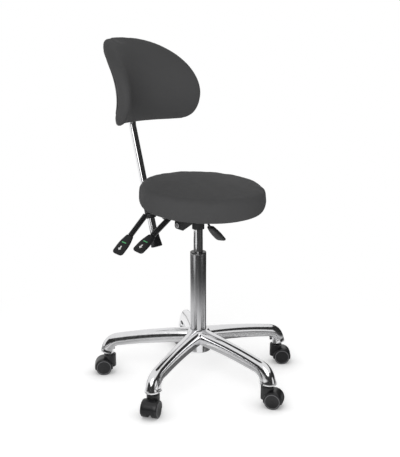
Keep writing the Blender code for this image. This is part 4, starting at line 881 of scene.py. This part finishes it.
def blownUp(name, sheet, heldAt, softening):
    pillow = coverCloth
    scene = bpy.context.scene
    cover = linked(name, meshOf(name, [sheet]))
    voxels = cover.modifiers.new("voxels", "REMESH")
    voxels.mode = "VOXEL"
    voxels.voxel_size = pillow["voxel"]
    even = bpy.data.meshes.new_from_object(evaluated(cover))
    cover.modifiers.clear()
    cover.data = even
    rest = pointsOf(even)
    held = cover.vertex_groups.new(name="held")
    held.add(np.flatnonzero(heldAt(rest)).tolist(), 1.0, "REPLACE")
    blown = rest
    cloth = cover.modifiers.new("cloth", "CLOTH")
    cloth.settings.use_pressure = True
    cloth.settings.uniform_pressure_force = pillow["pressure"]
    cloth.settings.effector_weights.gravity = 0.0
    cloth.settings.vertex_group_mass = "held"
    cloth.settings.tension_stiffness = pillow["stiffness"]
    cloth.settings.compression_stiffness = pillow["stiffness"]
    cloth.collision_settings.use_collision = False
    cloth.point_cache.frame_start = 1
    cloth.point_cache.frame_end = pillow["frames"]
    for step in range(1, pillow["frames"] + 1):
        scene.frame_set(step)
    blown = pointsOf(evaluated(cover).data)
    cover.modifiers.clear()
    scene.frame_set(1)
    push = blown - rest
    length = np.linalg.norm(push, axis=1, keepdims=True)
    final = rest + push * np.minimum(1.0, pillow["limit"] / np.maximum(length, 1e-9))
    even.vertices.foreach_set("co", final.ravel())
    softened = cover.modifiers.new("softened", "SMOOTH")
    softened.factor = pillow["smoothing"]
    softened.iterations = softening
    rounder = cover.modifiers.new("rounder", "SUBSURF")
    rounder.levels = rounder.render_levels = 1
    done = bpy.data.meshes.new_from_object(evaluated(cover))
    bpy.data.objects.remove(cover)
    done.shade_smooth()
    print(f"stage: {name} blown up by {1000.0 * float(length.max()):.1f} mm at most")
    return done


seatPad = dict(
    radius=0.1945, thickness=0.0665, crown=0.0085, topRound=0.026, sideRound=0.02, bottomRound=0.020,
    drawIn=0.003, underside=0.0660, boardRadius=0.1725, boardDepth=0.0124, mouthRound=0.002,
    pocketRound=0.003, pocketPole=0.002, heldAbove=0.003, heldBeyond=0.006, softening=6,
)


def makeSeatPad():
    # a turned form: a crown that falls by the square of the radius, a round side and a pocket for the board
    p = seatPad
    top = p["underside"] + p["thickness"]
    pocket = p["underside"] + p["boardDepth"]
    share = np.linspace(0.01, 1.0, 14, endpoint=False)
    flat = p["radius"] - p["topRound"]
    crown = np.stack([flat * share, top + p["crown"] * (1.0 - share**2)], 1)
    side = filleted([
        crown[-1], (p["radius"], top), (p["radius"], (top + p["underside"]) / 2.0),
        (p["radius"] - p["drawIn"], p["underside"]), (p["boardRadius"], p["underside"]),
        (p["boardRadius"], pocket), (p["pocketPole"], pocket),
    ], [p["topRound"], p["sideRound"], p["bottomRound"], p["mouthRound"], p["pocketRound"]], 10)
    profile = np.concatenate([crown, side[1:]])
    sheet = closedSheet(placed(turnedRows(profile, 160), seatFrame), "fan")
    toSeat = seatFrame.inverted()

    def heldAt(points):
        x, y, z = placed(points, toSeat).T
        return (z < pocket + p["heldAbove"]) & (np.hypot(x, y) < p["boardRadius"] + p["heldBeyond"])

    mesh = blownUp("seat_pad", sheet, heldAt, p["softening"])
    piece = show("seat_pad", mesh, [leather], "seat", "seat_cushion")


makeSeatPad()


backPad = dict(
    halfWidth=0.197, height=0.2695, waist=0.123, topPower=2.24, lowPower=2.89, curve=0.1512,
    thickness=0.0535, edgePower=5.7, lean=8.1, footY=0.2433, footZ=0.7987, arch=0.0544, archPower=2.85,
    lumbarRadius=0.1825, flareRadius=0.130, lumbarV=0.0934, firstShare=0.02, flatShare=0.55, edgeShare=0.45,
    floorShare=0.7, shellShare=0.80, shellThickness=0.009, shellGap=0.0006, mouthStep=0.01,
    floorSink=0.0008, slim=0.0008, spread=0.0026, heldDepth=0.004, heldBeyond=0.05, softening=4,
)


def padHollow(up):
    # two parabolas that meet at the hollow of the back, the lower one tighter
    radius = np.where(up > backPad["lumbarV"], backPad["lumbarRadius"], backPad["flareRadius"])
    return (up - backPad["lumbarV"]) ** 2 / (2.0 * radius)


def padPoint(across, up, depth):
    # bends round the sitter about a vertical line, hollows along its height, and leans back as a whole
    p = backPad
    bend, radius = across / p["curve"], p["curve"] + depth
    y = radius * np.cos(bend) - p["curve"] + padHollow(up)
    lean = math.radians(p["lean"])
    backwards = p["footY"] + y * math.cos(lean) + up * math.sin(lean)
    upwards = p["footZ"] - y * math.sin(lean) + up * math.cos(lean)
    return placed(grid(radius * np.sin(bend), backwards, upwards), columnFoot)


def padPlace(points):
    # the way across, the way up and the depth of a point: the reverse of padPoint
    p = backPad
    local = placed(points, columnFoot.inverted())
    lean = math.radians(p["lean"])
    backwards, upwards = local[:, 1] - p["footY"], local[:, 2] - p["footZ"]
    up = backwards * math.sin(lean) + upwards * math.cos(lean)
    y = backwards * math.cos(lean) - upwards * math.sin(lean)
    straight = y - padHollow(up) + p["curve"]
    across = p["curve"] * np.arctan2(local[:, 0], straight)
    return across, up, np.hypot(local[:, 0], straight) - p["curve"]


def padShare(across, up):
    # how far towards the outline: 0 in the middle and 1 on the edge
    p = backPad
    side = np.abs(across / p["halfWidth"])
    rise = up - p["waist"] + p["arch"] * side ** p["archPower"]

    def outward(height, power):
        return (side**power + np.abs(rise / height) ** power) ** (1 / power)

    high, low = outward(p["height"] - p["waist"], p["topPower"]), outward(p["waist"], p["lowPower"])
    return np.where(rise >= 0.0, high, low)


def padRows(share, depth, columns):
    # superellipse half moons, |s|^n + |v|^n = share^n, with hanging lower corners
    p = backPad
    c, s = np.cos(circle(columns)), np.sin(circle(columns))
    power = np.where(s >= 0.0, p["topPower"], p["lowPower"])
    rise = np.where(s >= 0.0, p["height"] - p["waist"], p["waist"])
    reach = (np.abs(c) ** power + np.abs(s) ** power) ** (-1.0 / power) * share[:, None]
    across = p["halfWidth"] * reach * c
    up = p["waist"] + rise * reach * s - p["arch"] * np.abs(across / p["halfWidth"]) ** p["archPower"]
    return padPoint(across, up, depth[:, None])


def padHalf(share):
    return backPad["thickness"] / 2.0 * np.sqrt(np.maximum(0.0, 1.0 - share ** backPad["edgePower"]))


def makeBackPad():
    # the front, the rounded edge, and a pocket in the back that takes the shell
    p = backPad
    edge = 1.0 + p["spread"] / p["waist"]
    around = np.linspace(0.0, quarterTurn, 22)[1:]
    share = np.concatenate([
        np.linspace(p["firstShare"], p["flatShare"], 8, endpoint=False),
        p["flatShare"] + p["edgeShare"] * np.sin(around),
    ])
    depth = np.maximum(0.0, padHalf(share) - p["slim"] * np.sqrt(1.0 - share**4))
    back, backDepth = share[::-1][1:], depth[::-1][1:]
    outer = back > p["shellShare"] + p["mouthStep"]
    mouth = float(padHalf(np.array(p["shellShare"])))
    floor = mouth - p["shellThickness"] - p["shellGap"] - p["floorSink"]
    inner = np.linspace(p["floorShare"], p["firstShare"], 8)
    shares = np.concatenate([share * edge, back[outer] * edge, [p["shellShare"]] * 2, inner])
    depths = np.concatenate([
        -depth, backDepth[outer], [mouth - p["slim"], floor], np.full(inner.shape, floor),
    ])
    sheet = closedSheet(padRows(shares, depths, 200), "fan")

    def heldAt(points):
        across, up, deep = padPlace(points)
        return (deep > p["heldDepth"]) & (padShare(across, up) < p["shellShare"] + p["heldBeyond"])

    mesh = blownUp("back_pad", sheet, heldAt, p["softening"])
    piece = show("back_pad", mesh, [leather], "backrest", "backrest_cushion")


backShell = dict(
    edgeGap=0.0006, edgeRound=0.0025, bossHalf=0.040, bossHeight=0.060, bossMiddle=0.8720, bossRound=0.008,
    bossFront=0.262, bossBack=0.2864, bossEdge=0.0015, bossBow=0.3,
)


def makeBackShell():
    # the pad's own curved sheet with a rolled edge, and a flat-backed block for the bar's plate
    p, s = backPad, backShell
    edge = p["shellShare"] - s["edgeGap"] / p["waist"]
    back = float(padHalf(np.array(p["shellShare"])))
    front = back - p["shellThickness"]
    roll = np.linspace(0.0, quarterTurn, 6)
    rollShare = s["edgeRound"] / p["waist"]
    inner = np.linspace(p["firstShare"], edge - rollShare, 16, endpoint=False)
    shares = np.concatenate([inner, edge - rollShare * (1.0 - np.sin(roll)), [edge], inner[::-1]])
    depths = np.concatenate([
        np.full(inner.shape, back), back - s["edgeRound"] * (1.0 - np.cos(roll)), [front],
        np.full(inner.shape, front),
    ])
    bow = s["bossBow"] * s["bossEdge"]
    level = np.array([s["bossFront"], s["bossBack"] - s["bossEdge"], s["bossBack"] - bow, s["bossBack"]])
    inset = np.array([0.0, 0.0, bow, s["bossEdge"]])
    outline = roundedBox(1.0, 1.0, s["bossRound"] / s["bossHalf"], 6)
    x = (s["bossHalf"] - inset)[:, None] * outline[:, 0]
    z = s["bossMiddle"] + (s["bossHeight"] / 2.0 - inset)[:, None] * outline[:, 1]
    boss = placed(grid(x, level[:, None], z), columnFoot)
    sheets = [closedSheet(padRows(shares, depths, 160), "fan"), closedSheet(boss, "flat")]
    show("back_shell", sheets, [blackPlastic], "backrest", "backrest_shell")


makeBackPad()
makeBackShell()
print("stage: backrest made")


# CAD pieces that keep their own form

keptPieces = dict(
    mechanism_housing=blackSteel, seat_plate=blackSteel, back_arm=blackSteel, backrest_plate=blackSteel,
    bar_guide=blackPlastic, seat_board=birch, piston_rod=zinc, thrust_bearing=zinc, retaining_clip=zinc,
    gas_release_pin=zinc,
)
for index in range(starBase["arms"]):
    keptPieces[f"caster_{index + 1}_stem"] = zinc
    keptPieces[f"caster_{index + 1}_axle"] = zinc
for node, paint in keptPieces.items():
    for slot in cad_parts[node].material_slots:
        slot.material = paint
print("stage: kept pieces painted")


# Stage: white floor, a softbox from the front left, a low fill, and dark cards that only reflections see

stage = dict(
    floorRadius=3.3, fadeStart=0.40, fadeEnd=1.05, floorShade=0.90, floorVary=0.01, floorPatch=3.0,
    floorLift=0.40, shadowReach=0.09, shadowDepth=0.6, shadowMost=0.85, room=0.62, boxSize=1.6,
    boxPower=21.0, boxPlace=(-1.65, -1.15, 1.45), boxTarget=(0.0, 0.0, 0.65), fillSize=1.0, fillPower=3.0,
    fillPlace=(0.5, -2.2, 0.45), fillTarget=(0.0, 0.25, 0.95), cardShade=(0.02, 0.02, 0.02), cardRough=0.9,
    cardLift=0.002, cardStart=0.001,
)
# first and last angle, near and far end, length of the fade, darkness, height of the wall at the far end
darkCards = (
    (122.0, 156.0, 0.62, 1.85, 0.60, 1.0, 0.0),
    (156.0, 185.0, 0.62, 1.40, 0.70, 1.0, 0.0),
    (185.0, 240.0, 0.46, 1.70, 0.80, 1.0, 0.0),
    (240.0, 345.0, 0.38, 2.30, 0.80, 1.0, 1.7),
    (345.0, 378.0, 0.22, 2.30, 0.35, 1.0, 1.55),
    (18.0, 80.0, 0.80, 1.70, 0.75, 0.8, 0.0),
    (80.0, 122.0, 0.62, 1.85, 0.60, 0.9, 0.0),
    (146.0, 156.0, 1.50, 2.30, 0.20, 1.0, 1.15),
    (156.0, 185.0, 2.30, 2.30, 0.001, 1.0, 1.15),
    (185.0, 240.0, 1.50, 2.30, 0.20, 1.0, 1.15),
    # the last four cards lie close round the stool: painted shadow of the stool on the floor, seen only in
    # the metal's reflections
    (278.0, 320.0, 0.20, 0.68, 0.16, 0.95, 0.0),
    (262.0, 365.0, 0.02, 0.36, 0.12, 0.85, 0.0),
    (158.0, 206.0, 0.26, 0.68, 0.20, 0.60, 0.0),
    (128.0, 215.0, 0.08, 0.30, 0.20, 0.55, 0.0),
)


def makeFloor():
    # white far off; near the stool it takes shadow, darkest where little open space is left above it
    s = stage
    rim = turnedRows([(s["floorRadius"], 0.0)], 96)[0]
    mesh = bpy.data.meshes.new("floor")
    mesh.from_pydata(rim.tolist(), [], [list(range(len(rim)))])
    paint = Paint("floor_white")
    shade = s["floorShade"] + s["floorVary"] * paint.noise(s["floorPatch"])
    grey = paint.node("CombineColor", {}, {0: shade, 1: shade, 2: shade})
    shadow = paint.node("BsdfDiffuse", {}, {"Color": grey})
    lift = paint.node("Emission", {}, {"Strength": s["floorLift"]})
    lit = paint.node("AddShader", {}, {0: shadow, 1: lift})
    openness = paint.node("AmbientOcclusion", {}, {"Distance": s["shadowReach"]}, "AO")
    covered = s["shadowDepth"] * (1.0 - openness)
    dark = paint.node("Math", {"operation": "MINIMUM"}, {0: covered, 1: s["shadowMost"]})
    black = paint.node("Emission", {}, {"Strength": 0.0})
    near = paint.node("MixShader", {}, {0: dark, 1: lit, 2: black})
    white = paint.node("Emission", {}, {"Strength": 1.0})
    fade = paint.away(s["fadeStart"], s["fadeEnd"])
    whole = paint.node("MixShader", {}, {0: fade, 1: near, 2: white})
    paint.feed(paint.tree.nodes["Material Output"].inputs["Surface"], whole)
    mesh.materials.append(paint.material)
    linked("floor", mesh)


def makeCards():
    # each card is a ring sector of floor that darkens away from the stool, a wall at its far end, or both
    s = stage
    for index, (first, last, near, far, fade, most, wall) in enumerate(darkCards):
        name = f"dark_card_{index + 1}"
        paint = Paint(name)
        alpha = paint.away(near - s["cardStart"], near + fade, most)
        dark = paint.done(Base_Color=(*s["cardShade"], 1.0), Roughness=s["cardRough"], Alpha=alpha)
        around = np.radians(np.linspace(first, last, 25))
        strips = []
        if far > near:
            strips.append(((near, s["cardLift"]), (far, s["cardLift"])))
        if wall > 0.0:
            strips.append(((far, 0.0), (far, wall)))
        radius, height = np.array(strips).reshape(-1, 2).T[:, :, None]
        points = grid(radius * np.cos(around), radius * np.sin(around), height)
        spot = np.arange(len(around) - 1)
        quad = np.stack([spot, spot + 1, spot + 1 + len(around), spot + len(around)], 1)
        faces = np.concatenate([quad + 2 * len(around) * place for place in range(len(strips))])
        mesh = bpy.data.meshes.new(name)
        mesh.from_pydata(points.reshape(-1, 3).tolist(), [], faces.tolist())
        mesh.materials.append(dark)
        holder = linked(name, mesh)
        holder.visible_camera = False
        holder.visible_diffuse = False
        holder.visible_shadow = False


def makeLight(name, size, power, place, target):
    lamp = bpy.data.lights.new(name, "AREA")
    lamp.shape = "SQUARE"
    lamp.size = size
    lamp.energy = power
    holder = linked(name, lamp)
    holder.location = place
    aim = Matrix.Translation(target).translation - holder.location
    holder.rotation_euler = aim.to_track_quat("-Z", "Y").to_euler()


def makeRoom():
    # white to the camera and in reflections, softer as a light
    room = bpy.data.worlds.new("studio")
    room.use_nodes = True
    bpy.context.scene.world = room
    tree = room.node_tree
    path = tree.nodes.new("ShaderNodeLightPath")
    seen = path.outputs["Is Camera Ray"]
    for kind in ("Is Glossy Ray", "Is Transmission Ray"):
        either = tree.nodes.new("ShaderNodeMath")
        either.operation = "MAXIMUM"
        tree.links.new(seen, either.inputs[0])
        tree.links.new(path.outputs[kind], either.inputs[1])
        seen = either.outputs[0]
    shown = tree.nodes["Background"]
    soft = tree.nodes.new("ShaderNodeBackground")
    for sky, strength in ((shown, 1.0), (soft, stage["room"])):
        sky.inputs["Strength"].default_value = strength
        sky.inputs["Color"].default_value = (1.0, 1.0, 1.0, 1.0)
    mix = tree.nodes.new("ShaderNodeMixShader")
    tree.links.new(seen, mix.inputs[0])
    tree.links.new(soft.outputs[0], mix.inputs[1])
    tree.links.new(shown.outputs[0], mix.inputs[2])
    tree.links.new(mix.outputs[0], tree.nodes["World Output"].inputs["Surface"])


photoCamera = dict(
    distance=2.6624, aside=0.00548, height=1.1808, away=(0.7089, 0.7053), pitch=14.485, focalPixels=897.23,
    imageHeight=457.0, sensor=36.0,
)


def makeCamera():
    c = photoCamera
    awayX, awayY = c["away"]
    lens = bpy.data.cameras.new("photo_camera")
    lens.sensor_fit = "VERTICAL"
    lens.sensor_height = c["sensor"]
    lens.lens = c["focalPixels"] / c["imageHeight"] * c["sensor"]
    holder = linked("photo_camera", lens)
    foot = columnFoot.translation
    holder.location = (
        foot.x + c["aside"] * awayY - c["distance"] * awayX,
        foot.y - c["aside"] * awayX - c["distance"] * awayY,
        c["height"],
    )
    holder.rotation_euler = (math.radians(90.0 - c["pitch"]), 0.0, -math.atan2(awayX, awayY))
    bpy.context.scene.camera = holder


makeFloor()
makeCards()
makeLight("front_softbox", stage["boxSize"], stage["boxPower"], stage["boxPlace"], stage["boxTarget"])
makeLight("low_fill", stage["fillSize"], stage["fillPower"], stage["fillPlace"], stage["fillTarget"])
makeRoom()
makeCamera()
view = bpy.context.scene.view_settings
view.view_transform = "Standard"
print("stage: stage, light and camera set")
